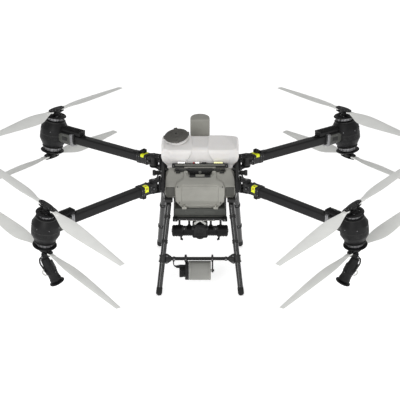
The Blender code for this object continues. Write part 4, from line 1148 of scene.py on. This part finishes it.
def build_arm(corner):
    """One arm: the root's lugs and pin, the knuckle, collar, tube and coloured band."""
    side, end = CORNERS[corner]
    low, high = corners_of("arm_root_" + corner)
    hinge, _ = joint_place("fold_arm_" + corner)
    inner = low.x if side > 0 else -high.x
    root = Piece("root_bracket_" + corner)
    y_in = min(abs(low.y), abs(high.y)) if low.y * high.y > 0 else 0.12
    for sign in (-1, 1):
        z0 = hinge.z + sign * LUG
        z1 = hinge.z + sign * (LUG + 0.0078)
        outline = [(inner + 0.004, y_in + 0.003), (abs(hinge.x) - 0.004, abs(hinge.y) - 0.0275)]
        outline += arc(0.0268, (abs(hinge.x), abs(hinge.y)), -72, 150, 15)
        outline += [(inner + 0.004, abs(hinge.y) + 0.0085)]
        outline = [(side * x, end * y) for x, y in outline]
        root.add(plate(outline, min(z0, z1), max(z0, z1), "XY", 0.0018), "black")
        cap = hinge + Vector((0, 0, sign * (LUG + 0.0074)))
        root.add(rod(cap, cap + Vector((0, 0, sign * 0.0032)), 0.0165, 0.0150, 28, 0.0008), "charcoal")
        root.add(bolt(cap + Vector((0, 0, sign * 0.0030)), (0, 0, sign), 0.0088, 0.0050), "steel")
        for i in range(2):
            spot = Vector((side * (inner + 0.0165), end * (y_in + 0.020 + 0.026 * i), z1))
            root.add(bolt(spot, (0, 0, sign), 0.0034), "steel")
        rib = [(side * (inner + 0.012), end * (y_in + 0.012), hinge.z + sign * 0.010),
               (side * (inner + 0.026), end * (y_in + 0.026), hinge.z + sign * (LUG + 0.001))]
        root.add(block(rib[0], rib[1], 0.002), "black")
    root.add(block((side * inner, end * y_in, hinge.z - LUG - 0.0078),
                   (side * (inner + 0.0132), end * (y_in + 0.080), hinge.z + LUG + 0.0078), 0.003, 3), "black")
    for z in (-0.022, 0.022):
        for i in range(2):
            spot = Vector((side * (inner + 0.0130), end * (y_in + 0.012 + 0.020 * i), hinge.z + z))
            root.add(bolt(spot, (side, 0, 0), 0.0036), "steel")
    root.done("root", ["arm_root_" + corner])

    frame_out = arm_frame(corner)
    length = arm_length(corner)
    reach = length - 0.1810
    arm = Piece("arm_beam_" + corner, frame_out)
    stand = frame_out.inverted().to_3x3() @ UP
    turn = stand.to_track_quat("Z", "Y").to_matrix().to_4x4()
    knuckle = [(0.0225, -LUG + 0.0018), (0.0248, -LUG + 0.0040), (0.0248, -0.012), (0.0236, -0.0105), (0.0236, 0.0105),
               (0.0248, 0.012), (0.0248, LUG - 0.0040), (0.0225, LUG - 0.0018)]
    arm.add(turned(knuckle, 40), "charcoal", turn)
    arm.add(rounded_bar(0.010, 0.036, HALF - 0.001, HALF - 0.001, 0.007), "charcoal")
    arm.add(rounded_bar(0.100, reach, HALF - 0.0002, HALF - 0.0002, 0.0090, 6), "carbon")
    wide = HALF + 0.0038
    for start, stop, grow in ((0.0340, 0.0430, 0.0), (0.0425, 0.0860, -0.0012), (0.0855, 0.0955, 0.0),
                              (0.0950, 0.1020, -0.0014), (0.1015, 0.1098, 0.0)):
        arm.add(edges_rounded(rounded_bar(start, stop, wide + grow, wide + grow, 0.0085, 5), 0.0008, 2, 60), "charcoal")
    for y_sign in (-1, 1):
        for x in (0.0385, 0.0905, 0.1058):
            for z in (-0.014, 0.014):
                arm.add(bolt((x, y_sign * (wide - 0.0002), z), (0, y_sign, 0), 0.0030), "steel")
        arm.add(block((0.012, y_sign * (wide - 0.006), -0.0075), (0.036, y_sign * (wide + 0.0005), 0.0075), 0.0025, 3), "black")
        arm.add(bolt((0.022, y_sign * (wide + 0.0003), 0), (0, y_sign, 0), 0.0046), "steel")
    grip = -1 if end < 0 else 1
    for z_sign in (-1, 1):
        arm.add(block((0.0865, -0.016, z_sign * (wide - 0.004)), (0.0945, 0.016, z_sign * (wide + 0.0014)), 0.0014), "black")
    for y_sign in (-1, 1):
        arm.add(block((0.0985, y_sign * 0.0120, grip * (wide - 0.003)), (0.1096, y_sign * 0.0175, grip * (wide + 0.0105)),
                      0.0020), "black")
    clip = block((0.1120, -0.0135, grip * (HALF - 0.001)), (0.1500, 0.0135, grip * (HALF + 0.0058)), 0.0025, 3)
    arm.add(clip, "charcoal")
    arm.add(bolt((0.1300, 0, grip * (HALF + 0.0054)), (0, 0, grip), 0.0036), "steel")
    arm.done("arm_" + corner, ["arm_tube_" + corner])

    band = Piece("marker_band_" + corner, frame_out)
    skin = wide - 0.0002
    near = 0.0590 if end < 0 else 0.0550
    sticker = edges_rounded(rounded_bar(near, near + 0.0250, skin, skin, 0.0088, 6), 0.0004, 1, 60)
    inner_y, low_z = (-0.002, -0.006) if end < 0 else (0.022, 0.014)
    region = block((0.040, side * inner_y, low_z), (0.090, -side * 0.050, 0.050))
    band.add(combined(sticker, region, "INTERSECT"), "yellow")
    if end < 0:
        low_x, high_x = near + 0.008, near + 0.018
        band.add(block((low_x, -side * (skin - 0.0012), skin - 0.020), (high_x, -side * (skin + 0.0007), skin - 0.008),
                       0.0002), "orange")
        band.add(block((low_x, -side * 0.012, skin - 0.001), (high_x, -side * 0.024, skin + 0.0006), 0.0002), "orange")
    band.done("arm_" + corner, angle=40)


def build_lock(corner):
    """The arm lock's lever: two cheeks, a pivot pin and a ribbed thumb knob."""
    _, end = CORNERS[corner]
    frame_out = arm_frame(corner)
    if end < 0:
        frame_out = frame_out @ Matrix.Rotation(math.pi, 4, "X")
    base = HALF + 0.0060
    lock = Piece("lock_lever_" + corner, frame_out)
    lock.add(block((0.0680, -0.0108, base + 0.0002), (0.1078, 0.0108, base + 0.0085), 0.0022, 3), "black")
    lock.add(block((0.0830, -0.0060, base + 0.0060), (0.1010, 0.0060, base + 0.0105), 0.0018, 3), "charcoal")
    lock.add(block((0.0625, -0.0138, base + 0.0002), (0.0855, 0.0138, base + 0.0198), 0.0050, 4), "black")
    for i in range(5):
        x = 0.0655 + 0.0043 * i
        lock.add(block((x, -0.0120, base + 0.0180), (x + 0.0020, 0.0120, base + 0.0212), 0.0008), "black")
    lock.add(rod((0.104, -0.0122, base + 0.005), (0.104, 0.0122, base + 0.005), 0.0042, segments=20, width=0.0006), "steel")
    lock.done("lock_" + corner, ["arm_lock_" + corner])


def build_pod(corner):
    """One pod: faceted barrel, cooling slots, two finned motor rings and the arm clamp."""
    _, end = CORNERS[corner]
    pod = Piece("pod_case_" + corner, pod_frame(corner))
    barrel = [(0.046, 0.0880), (0.0585, 0.0805), (0.0605, 0.0770), (0.0820, 0.0400), (0.0828, 0.0370), (0.0828, -0.0280),
              (0.0815, -0.0320), (0.0560, -0.0805), (0.0500, -0.0845)]
    pod.add(turned(barrel, 14, 0.0022), "black")
    belt = [(0.0822, 0.0065), (0.0838, 0.0055), (0.0838, 0.0015), (0.0822, 0.0005)]
    pod.add(turned(belt, 14, 0.0), "charcoal")
    for i in range(14):
        angle = math.tau * (i + 0.5) / 14
        turn = Matrix.Rotation(angle, 4, "Z")
        flat = 0.0828 * math.cos(math.pi / 14)
        for k in range(3):
            z = -0.020 + 0.0075 * k
            pod.add(block((flat - 0.003, -0.0110, z), (flat + 0.0010, 0.0110, z + 0.0032), 0.0008), "charcoal", turn)
        if i % 2:
            pod.add(bolt((flat - 0.0002, 0, 0.0285), (1, 0, 0), 0.0032), "steel", turn)
    for z0, z1, radius in ((0.0835, 0.1022, 0.0468), (-0.1022, -0.0835, 0.0498)):
        ring = [(radius - 0.003, z0), (radius, z0 + 0.0015), (radius, z0 + 0.0060), (radius - 0.0018, z0 + 0.0068),
                (radius - 0.0018, z1 - 0.0068), (radius, z1 - 0.0060), (radius, z1 - 0.0015), (radius - 0.003, z1)]
        pod.add(turned(ring, 48), "aluminium")
        for i in range(28):
            turn = Matrix.Rotation(math.tau * i / 28, 4, "Z")
            pod.add(block((radius - 0.006, -0.0014, z0 + 0.0020), (radius + 0.0006, 0.0014, z1 - 0.0020), 0.0005),
                    "charcoal" if i % 2 else "aluminium", turn)
    for z in (0.0770, -0.0800):
        skirt = [(0.0560, z - 0.002), (0.0615, z - 0.001), (0.0615, z + 0.003), (0.0560, z + 0.004)]
        pod.add(turned(skirt, 48), "charcoal")

    along = pod_frame(corner).inverted() @ arm_frame(corner) @ Matrix.Translation((arm_length(corner), 0, 0))
    sleeve = edges_rounded(rounded_bar(-0.1610, -0.0500, 0.0360, 0.0345, 0.0060, 3), 0.001, 2, 60)
    pod.add(sleeve, "black", along)
    for y_sign in (-1, 1):
        cheek = [(-0.1585, -0.0290), (-0.1585, 0.0290), (-0.0900, 0.0290), (-0.0700, 0.0180), (-0.0700, -0.0180),
                 (-0.0900, -0.0290)]
        y0 = y_sign * 0.0350
        y1 = y_sign * 0.0382
        pod.add(plate(cheek, min(y0, y1), max(y0, y1), "XZ", 0.0012), "dark_grey", along)
        for x in (-0.1500, -0.1100):
            for z in (-0.0215, 0.0215):
                pod.add(bolt((x, y_sign * 0.0380, z), (0, y_sign, 0), 0.0036), "steel", along)
        pod.add(block((-0.1420, y_sign * 0.0370, -0.0120), (-0.1000, y_sign * 0.0395, 0.0120), 0.0020, 3), "charcoal", along)
    strap = edges_rounded(rounded_bar(-0.1795, -0.1605, 0.0396, 0.0376, 0.0070, 5), 0.0010, 2, 60)
    pod.add(strap, "aluminium", along)
    pod.add(edges_rounded(rounded_bar(-0.1735, -0.1665, 0.0402, 0.0382, 0.0070, 5), 0.0008, 2, 60), "steel", along)
    pod.add(block((-0.1780, -0.0060, -0.0440), (-0.1620, 0.0060, -0.0370), 0.0015), "aluminium", along)
    pod.add(rod((-0.1700, -0.0085, -0.0410), (-0.1700, 0.0085, -0.0410), 0.0030, segments=18), "steel", along)
    pod.add(rounded_bar(-0.1880, -0.1790, HALF + 0.0035, HALF + 0.0035, 0.0080, 5), "rubber", along)
    start = -0.1950 if end < 0 else -0.2300
    pod.add(block((start, -0.0238, 0.0295), (-0.0800, 0.0238, 0.0500), 0.0030, 3), "black", along)
    fins = round((-0.0900 - start) / 0.0088)
    for i in range(fins):
        x = start + 0.0048 + 0.0088 * i
        pod.add(block((x, -0.0236, 0.0480), (x + 0.0036, 0.0236, 0.0598), 0.0008), "black", along)
    pod.add(block((start, -0.0238, 0.0480), (start + 0.0030, 0.0238, 0.0600), 0.0010), "charcoal", along)
    pod.add(block((start - 0.0027, -0.0120, 0.0330), (start + 0.0008, 0.0120, 0.0450), 0.0012), "charcoal", along)
    plug = smooth_route([(start - 0.0012, 0.0, 0.0390), (start - 0.0112, 0.0, 0.0385), (start - 0.0192, 0.0, 0.0330),
                         (start - 0.0242, 0.0, 0.0265)])
    pod.add(pipe(plug, 0.0042, 12), "rubber", along)
    pod.done("arm_" + corner, ["motor_pod_" + corner])


# Rotors

def rotor_axes(corner, level):
    """A rotor's frame at its hub plane: X towards blade a, Z up the rotor axis."""
    hub, up = joint_place("spin_rotor_" + corner + "_" + level)
    pivot, _ = joint_place("fold_blade_a_" + corner + "_" + level)
    centre = pod_frame(corner).translation
    up = pod_frame(corner).col[2].xyz
    plane = centre + up * (hub - centre).dot(up)
    return axes(plane, pivot - plane, up)


def build_hub(corner, level):
    """A rotor hub: motor bell with slots, shaft, two clamp plates, bolts and washers."""
    facing = LEVELS[level]
    matrix = rotor_axes(corner, level)
    if facing < 0:
        matrix = matrix @ Matrix.Rotation(math.pi, 4, "X")
    pivot, _ = joint_place("fold_blade_a_" + corner + "_" + level)
    reach = (pivot - rotor_axes(corner, level).translation).length
    hub = Piece("hub_set_" + corner + "_" + level, matrix)
    radius = 0.0630 if facing > 0 else 0.0690
    base = -0.0320
    bell = [(radius - 0.012, base - 0.0040), (radius - 0.0015, base - 0.0038), (radius, base - 0.0022),
            (radius, base - 0.0002), (radius - 0.0030, base + 0.0030), (radius - 0.0050, base + 0.0038),
            (0.0400, base + 0.0042), (0.0375, base + 0.0020), (0.0300, base + 0.0020), (0.0280, base + 0.0045),
            (0.0205, base + 0.0075), (0.0190, base + 0.0095), (0.0190, -0.0125)]
    hub.add(turned(bell, 64), "black")
    for i in range(12):
        turn = Matrix.Rotation(math.tau * i / 12, 4, "Z")
        hub.add(block((0.0285, -0.0016, base + 0.0010), (radius - 0.0060, 0.0016, base + 0.0060), 0.0007), "charcoal", turn)
    for i in range(4):
        angle = math.tau * (i + 0.5) / 4
        hub.add(bolt((0.0335 * math.cos(angle), 0.0335 * math.sin(angle), base + 0.0018), (0, 0, 1), 0.0036, 0.0034), "steel")
    for low, high in ((-0.0109, -0.0057), (0.0057, 0.0109)):
        outline = arc(0.0168, (reach, 0), -80, 160, 13) + [(0.022, 0.0215), (0.0, 0.0225), (-0.022, 0.0215)]
        outline += arc(0.0168, (-reach, 0), 100, 160, 13) + [(-0.022, -0.0215), (0.0, -0.0225), (0.022, -0.0215)]
        hub.add(plate(outline, low, high, "XY", 0.0009), "black")
    hub.add(turned([(0.0215, -0.0110), (0.0215, 0.0108), (0.0195, 0.0120), (0.0135, 0.0122), (0.0125, 0.0135),
                    (0.0085, 0.0137)], 36), "charcoal")
    for sign in (-1, 1):
        for z_sign in (-1, 1):
            place = Vector((sign * reach, 0, z_sign * 0.0107))
            hub.add(rod(place, place + Vector((0, 0, z_sign * 0.0010)), 0.0098, segments=28), "steel")
            hub.add(bolt(place + Vector((0, 0, z_sign * 0.0008)), (0, 0, z_sign), 0.0066, 0.0042), "charcoal")
        hub.add(rod((sign * 0.0300, -0.013, 0.0108), (sign * 0.0300, -0.013, 0.0124), 0.0032, segments=18), "steel")
        hub.add(rod((sign * 0.0300, 0.013, 0.0108), (sign * 0.0300, 0.013, 0.0124), 0.0032, segments=18), "steel")
    hub.done("rotor_" + corner + "_" + level, ["rotor_hub_" + corner + "_" + level])


# A blade's stations: share of the span, leading edge, trailing edge, thickness, pitch
BLADE = (
    (0.000, 0.0130, -0.0130, 0.0098, 0.0), (0.045, 0.0145, -0.0155, 0.0098, 4.0),
    (0.120, 0.0230, -0.0285, 0.0085, 12.0), (0.230, 0.0345, -0.0500, 0.0070, 14.0),
    (0.340, 0.0370, -0.0540, 0.0060, 13.0), (0.520, 0.0335, -0.0460, 0.0048, 11.0),
    (0.760, 0.0265, -0.0305, 0.0036, 8.0), (0.940, 0.0215, -0.0190, 0.0026, 6.0),
    (0.985, 0.0200, -0.0165, 0.0023, 5.3), (1.000, 0.0190, -0.0155, 0.0018, 5.0),
)


def blade_station(share):
    """The blade's section values at any share of the span, smoothly between stations."""
    for i in range(len(BLADE) - 1):
        if BLADE[i][0] <= share <= BLADE[i + 1][0]:
            break
    t = (share - BLADE[i][0]) / (BLADE[i + 1][0] - BLADE[i][0])
    values = []
    for k in range(1, 5):
        slopes = []
        for j in (i, i + 1):
            before = BLADE[max(j - 1, 0)]
            after = BLADE[min(j + 1, len(BLADE) - 1)]
            slopes.append((after[k] - before[k]) / (after[0] - before[0]))
        width = BLADE[i + 1][0] - BLADE[i][0]
        a, b = BLADE[i][k], BLADE[i + 1][k]
        values.append(
            (2 * t ** 3 - 3 * t ** 2 + 1) * a + (t ** 3 - 2 * t ** 2 + t) * width * slopes[0]
            + (3 * t ** 2 - 2 * t ** 3) * b + (t ** 3 - t ** 2) * width * slopes[1]
        )
    return values


def build_blade(corner, level, which):
    """One blade: cambered airfoil sections, a root eye with a steel bush, and a tip."""
    side, end = CORNERS[corner]
    facing = LEVELS[level]
    hand = side * end * facing
    hub = rotor_axes(corner, level)
    pivot, _ = joint_place("fold_blade_" + which + "_" + corner + "_" + level)
    up = hub.col[2].xyz
    pivot = pivot + up * (hub.translation - pivot).dot(up)
    matrix = axes(pivot, pivot - hub.translation, up)
    span = 0.686 - (pivot - hub.translation).length
    shares = [0.0, 0.02, 0.045, 0.08, 0.12, 0.16, 0.20, 0.25, 0.30, 0.36, 0.43, 0.50, 0.58, 0.66, 0.74, 0.82, 0.89, 0.94,
              0.97, 0.985, 0.994, 1.0]
    rings = []
    for share in shares:
        lead, trail, thickness, pitch = blade_station(share)
        lean = math.radians(pitch) * hand
        chord = lead - trail
        camber = 0.035 * chord * min(1.0, share / 0.2)
        x = share * span
        drop = -x * math.tan(math.radians(1.0))
        ring = []
        for k in range(24):
            angle = math.tau * k / 24
            part = 0.5 - 0.5 * math.cos(angle)
            arch = camber * 4 * part * (1 - part)
            thick = 0.5 * thickness * math.sin(angle) * (1.0 - 0.45 * part) * 1.15
            y = (lead - part * chord) * hand
            z = thick + arch - camber * 0.6
            ring.append((x, y * math.cos(lean) - z * math.sin(lean), y * math.sin(lean) + z * math.cos(lean) + drop))
        rings.append(ring)
    blade = Piece("blade_" + which + "_skin_" + corner + "_" + level, matrix)
    blade.add(rings_joined(rings), "blade")
    blade.add(turned([(0.0140, -0.0049), (0.0155, -0.0038), (0.0155, 0.0038), (0.0140, 0.0049)], 32), "blade")
    blade.add(turned([(0.0075, -0.0052), (0.0085, -0.0050), (0.0085, 0.0050), (0.0075, 0.0052)], 24), "steel")
    root = plate([(0.010, -0.0125), (0.040, -0.0150), (0.052, -0.0100), (0.056, 0.0), (0.052, 0.0110), (0.040, 0.0140),
                  (0.010, 0.0125)], -0.0046, 0.0046, "XY", 0.0018)
    blade.add(root, "blade")
    blade.done("blade_" + which + "_" + corner + "_" + level + "_body",
               ["blade_" + which + "_" + corner + "_" + level], 50)


# Spray nozzles

def build_sprinkler(side):
    """One nozzle: drop pipe, elbow, slanted ribbed body, hose loop and spray disc."""
    word = "left" if side < 0 else "right"
    corner = "tail_" + word
    pod = pod_frame(corner)
    disc_place, disc_axis = joint_place("spin_atomiser_" + word)
    disc_low, disc_high = corners_of("spray_disc_" + word)
    start = pod @ Vector((0, 0, -0.165))
    body_top = start + Vector((0, 0, -0.028))
    body_low = start + Vector((-side * 0.066, 0, -0.165))
    line = (body_low - body_top).normalized()
    nozzle = Piece("nozzle_set_" + word)
    nozzle.add(rod(pod @ Vector((0, 0, -0.1031)), pod @ Vector((0, 0, -0.186)), 0.0108, segments=28), "charcoal")
    nozzle.add(rod(pod @ Vector((0, 0, -0.162)), pod @ Vector((0, 0, -0.176)), 0.0145, segments=8, width=0.0015), "black")
    nozzle.add(ribbed(start + Vector((0, 0, 0.001)), start + Vector((-side * 0.004, 0, -0.030)), 0.0165, 3, 0.0012), "black")
    size = (body_low - body_top).length
    frame_out = axes(body_top, Vector((0, 1, 0)), line)
    profile = [(0.0200, 0.0), (0.0240, 0.004), (0.0255, 0.020), (0.0275, 0.040), (0.0300, 0.048), (0.0305, 0.052),
               (0.0290, 0.056), (0.0300, 0.090), (0.0325, 0.094), (0.0325, 0.100), (0.0305, 0.104), (0.0315, size - 0.020),
               (0.0340, size - 0.014), (0.0340, size - 0.004), (0.0320, size - 0.0005)]
    nozzle.add(turned(profile, 40, 0.0006), "black", frame_out)
    for i in range(14):
        turn = Matrix.Rotation(math.tau * i / 14, 4, "Z")
        nozzle.add(block((0.0275, -0.0018, 0.057), (0.0312, 0.0018, 0.089), 0.0008), "black", frame_out @ turn)
    nozzle.add(block((-0.012, -0.0330, 0.050), (0.012, -0.0200, 0.098), 0.004, 3), "charcoal", frame_out)
    nozzle.add(block((-0.016, 0.0200, 0.030), (0.016, 0.0340, 0.090), 0.005, 3), "charcoal", frame_out)
    nozzle.add(block((0.020, -0.014, 0.020), (0.0300, 0.014, 0.060), 0.004, 3), "black", frame_out)
    for turn in (0.5, 1.5, 2.5, 3.5):
        angle = math.tau * turn / 4
        place = Vector((0.0310 * math.cos(angle), 0.0310 * math.sin(angle), 0.0972))
        outward = Vector((math.cos(angle), math.sin(angle), 0))
        nozzle.add(bolt(place, outward, 0.0030), "steel", frame_out)
    out = Vector((side, 0, 0))
    loop = [start + Vector((side * 0.012, -0.012, -0.018)), start + Vector((side * 0.024, -0.014, -0.030)),
            start + Vector((side * 0.022, -0.016, -0.056)), start + Vector((side * 0.008, -0.018, -0.080)),
            start + Vector((-side * 0.003, -0.020, -0.100)), start + Vector((-side * 0.014, -0.018, -0.112))]
    nozzle.add(pipe(smooth_route(loop), 0.0048, 14), "charcoal")
    clip = [start + Vector((side * 0.003, -0.022, -0.090)), start + Vector((side * 0.009, -0.024, -0.106)),
            start + Vector((side * 0.003, -0.024, -0.120)), start + Vector((-side * 0.012, -0.022, -0.128))]
    nozzle.add(pipe(smooth_route(clip), 0.0040, 14), "hose")
    nozzle.add(rod(loop[0] - out * 0.004, loop[0] + out * 0.006, 0.0068, segments=6, width=0.0008), "steel")
    nozzle.done("arm_" + corner, ["sprinkler_" + word])

    disc = Piece("spray_wheel_" + word, axes(body_low + line * 0.0005, Vector((0, 1, 0)), line))
    profile = [(0.016, 0.0004), (0.0210, 0.0010), (0.0300, 0.0035), (0.0425, 0.0062), (0.0438, 0.0072), (0.0438, 0.0085),
               (0.0420, 0.0092), (0.0420, 0.0106), (0.0438, 0.0113), (0.0438, 0.0128), (0.0425, 0.0139), (0.0200, 0.0139),
               (0.0180, 0.0125), (0.0080, 0.0125)]
    disc.add(turned(profile, 56), "black")
    for i in range(36):
        turn = Matrix.Rotation(math.tau * i / 36, 4, "Z")
        disc.add(block((0.0405, -0.0008, 0.0084), (0.0436, 0.0008, 0.0114), 0.0003), "charcoal", turn)
    disc.done("atomiser_" + word, ["spray_disc_" + word])


# Everything

def dress_frame_nodes():
    """Node materials for the frame's own meshes that stay in view."""
    surfaces = {"flight_controller": "black"}
    for node, surface in surfaces.items():
        mesh = NODES[node].data
        mesh.materials.clear()
        mesh.materials.append(MATERIALS[surface])


def build_drone():
    """Every visible piece."""
    build_tank()
    build_lid()
    build_battery()
    build_handle()
    build_centre()
    build_tower()
    build_belly()
    build_pumps()
    build_landing_gear()
    build_crossbar()
    build_radar()
    for corner in CORNERS:
        build_arm(corner)
        build_lock(corner)
        build_pod(corner)
        for level in LEVELS:
            build_hub(corner, level)
            build_blade(corner, level, "a")
            build_blade(corner, level, "b")
    for side in (-1, 1):
        build_sprinkler(side)
    dress_frame_nodes()


# Floor, light and camera

def area_light(name, place, target, size, power, colour=(1, 1, 1)):
    """A soft square lamp aimed at a point."""
    lamp_data = bpy.data.lights.new(name, "AREA")
    lamp_data.shape = "SQUARE"
    lamp_data.size = size
    lamp_data.energy = power
    lamp_data.color = colour
    made = bpy.data.objects.new(name, lamp_data)
    made.location = place
    made.rotation_euler = (Vector(target) - Vector(place)).to_track_quat("-Z", "Y").to_euler()
    bpy.context.scene.collection.objects.link(made)


def build_stage():
    """A plain pale floor, a pale surround and soft studio light."""
    shape = bmesh.new()
    bmesh.ops.create_grid(shape, x_segments=8, y_segments=8, size=60.0)
    mesh = bpy.data.meshes.new("floor")
    shape.to_mesh(mesh)
    shape.free()
    floor = bpy.data.objects.new("floor", mesh)
    bpy.context.scene.collection.objects.link(floor)
    _, nodes, links, shader = material("floor_paper")
    cloud = noise(nodes, links, 0.4, 2.0)
    links.new(ramp(nodes, links, cloud, [(0.3, 0.90), (0.7, 0.92)]), shader.inputs["Base Color"])
    shader.inputs["Roughness"].default_value = 0.9
    shader.inputs["Emission Color"].default_value = (1, 1, 1, 1)
    shader.inputs["Emission Strength"].default_value = 0.60
    mesh.materials.append(MATERIALS["floor_paper"])
    world = bpy.data.worlds.new("surround")
    world.use_nodes = True
    world.node_tree.nodes["Background"].inputs["Color"].default_value = (1.0, 1.0, 1.0, 1)
    world.node_tree.nodes["Background"].inputs["Strength"].default_value = 0.42
    bpy.context.scene.world = world
    bpy.context.scene.view_settings.view_transform = "Standard"
    area_light("key", (-2.5, -7.0, 3.6), (0, 0, 0.5), 3.0, 225.0)
    area_light("fill", (5.0, -5.0, 2.5), (0, 0, 0.5), 4.0, 80.0)
    area_light("top", (0.0, 0.5, 7.0), (0, 0, 0.4), 5.0, 75.0)


def build_camera():
    """A long lens behind the tail, looking a little down."""
    data = bpy.data.cameras.new("camera")
    data.lens = 365.0
    data.sensor_width = 36.0
    data.clip_end = 200.0
    made = bpy.data.objects.new("camera", data)
    elevation = math.radians(23.3)
    distance = 23.3
    aim = Vector((0, 0, 0.45))
    made.location = aim + Vector((0, -distance * math.cos(elevation), distance * math.sin(elevation)))
    made.rotation_euler = (aim - made.location).to_track_quat("-Z", "Y").to_euler()
    bpy.context.scene.collection.objects.link(made)
    bpy.context.scene.camera = made


make_materials()
build_drone()
build_stage()
build_camera()
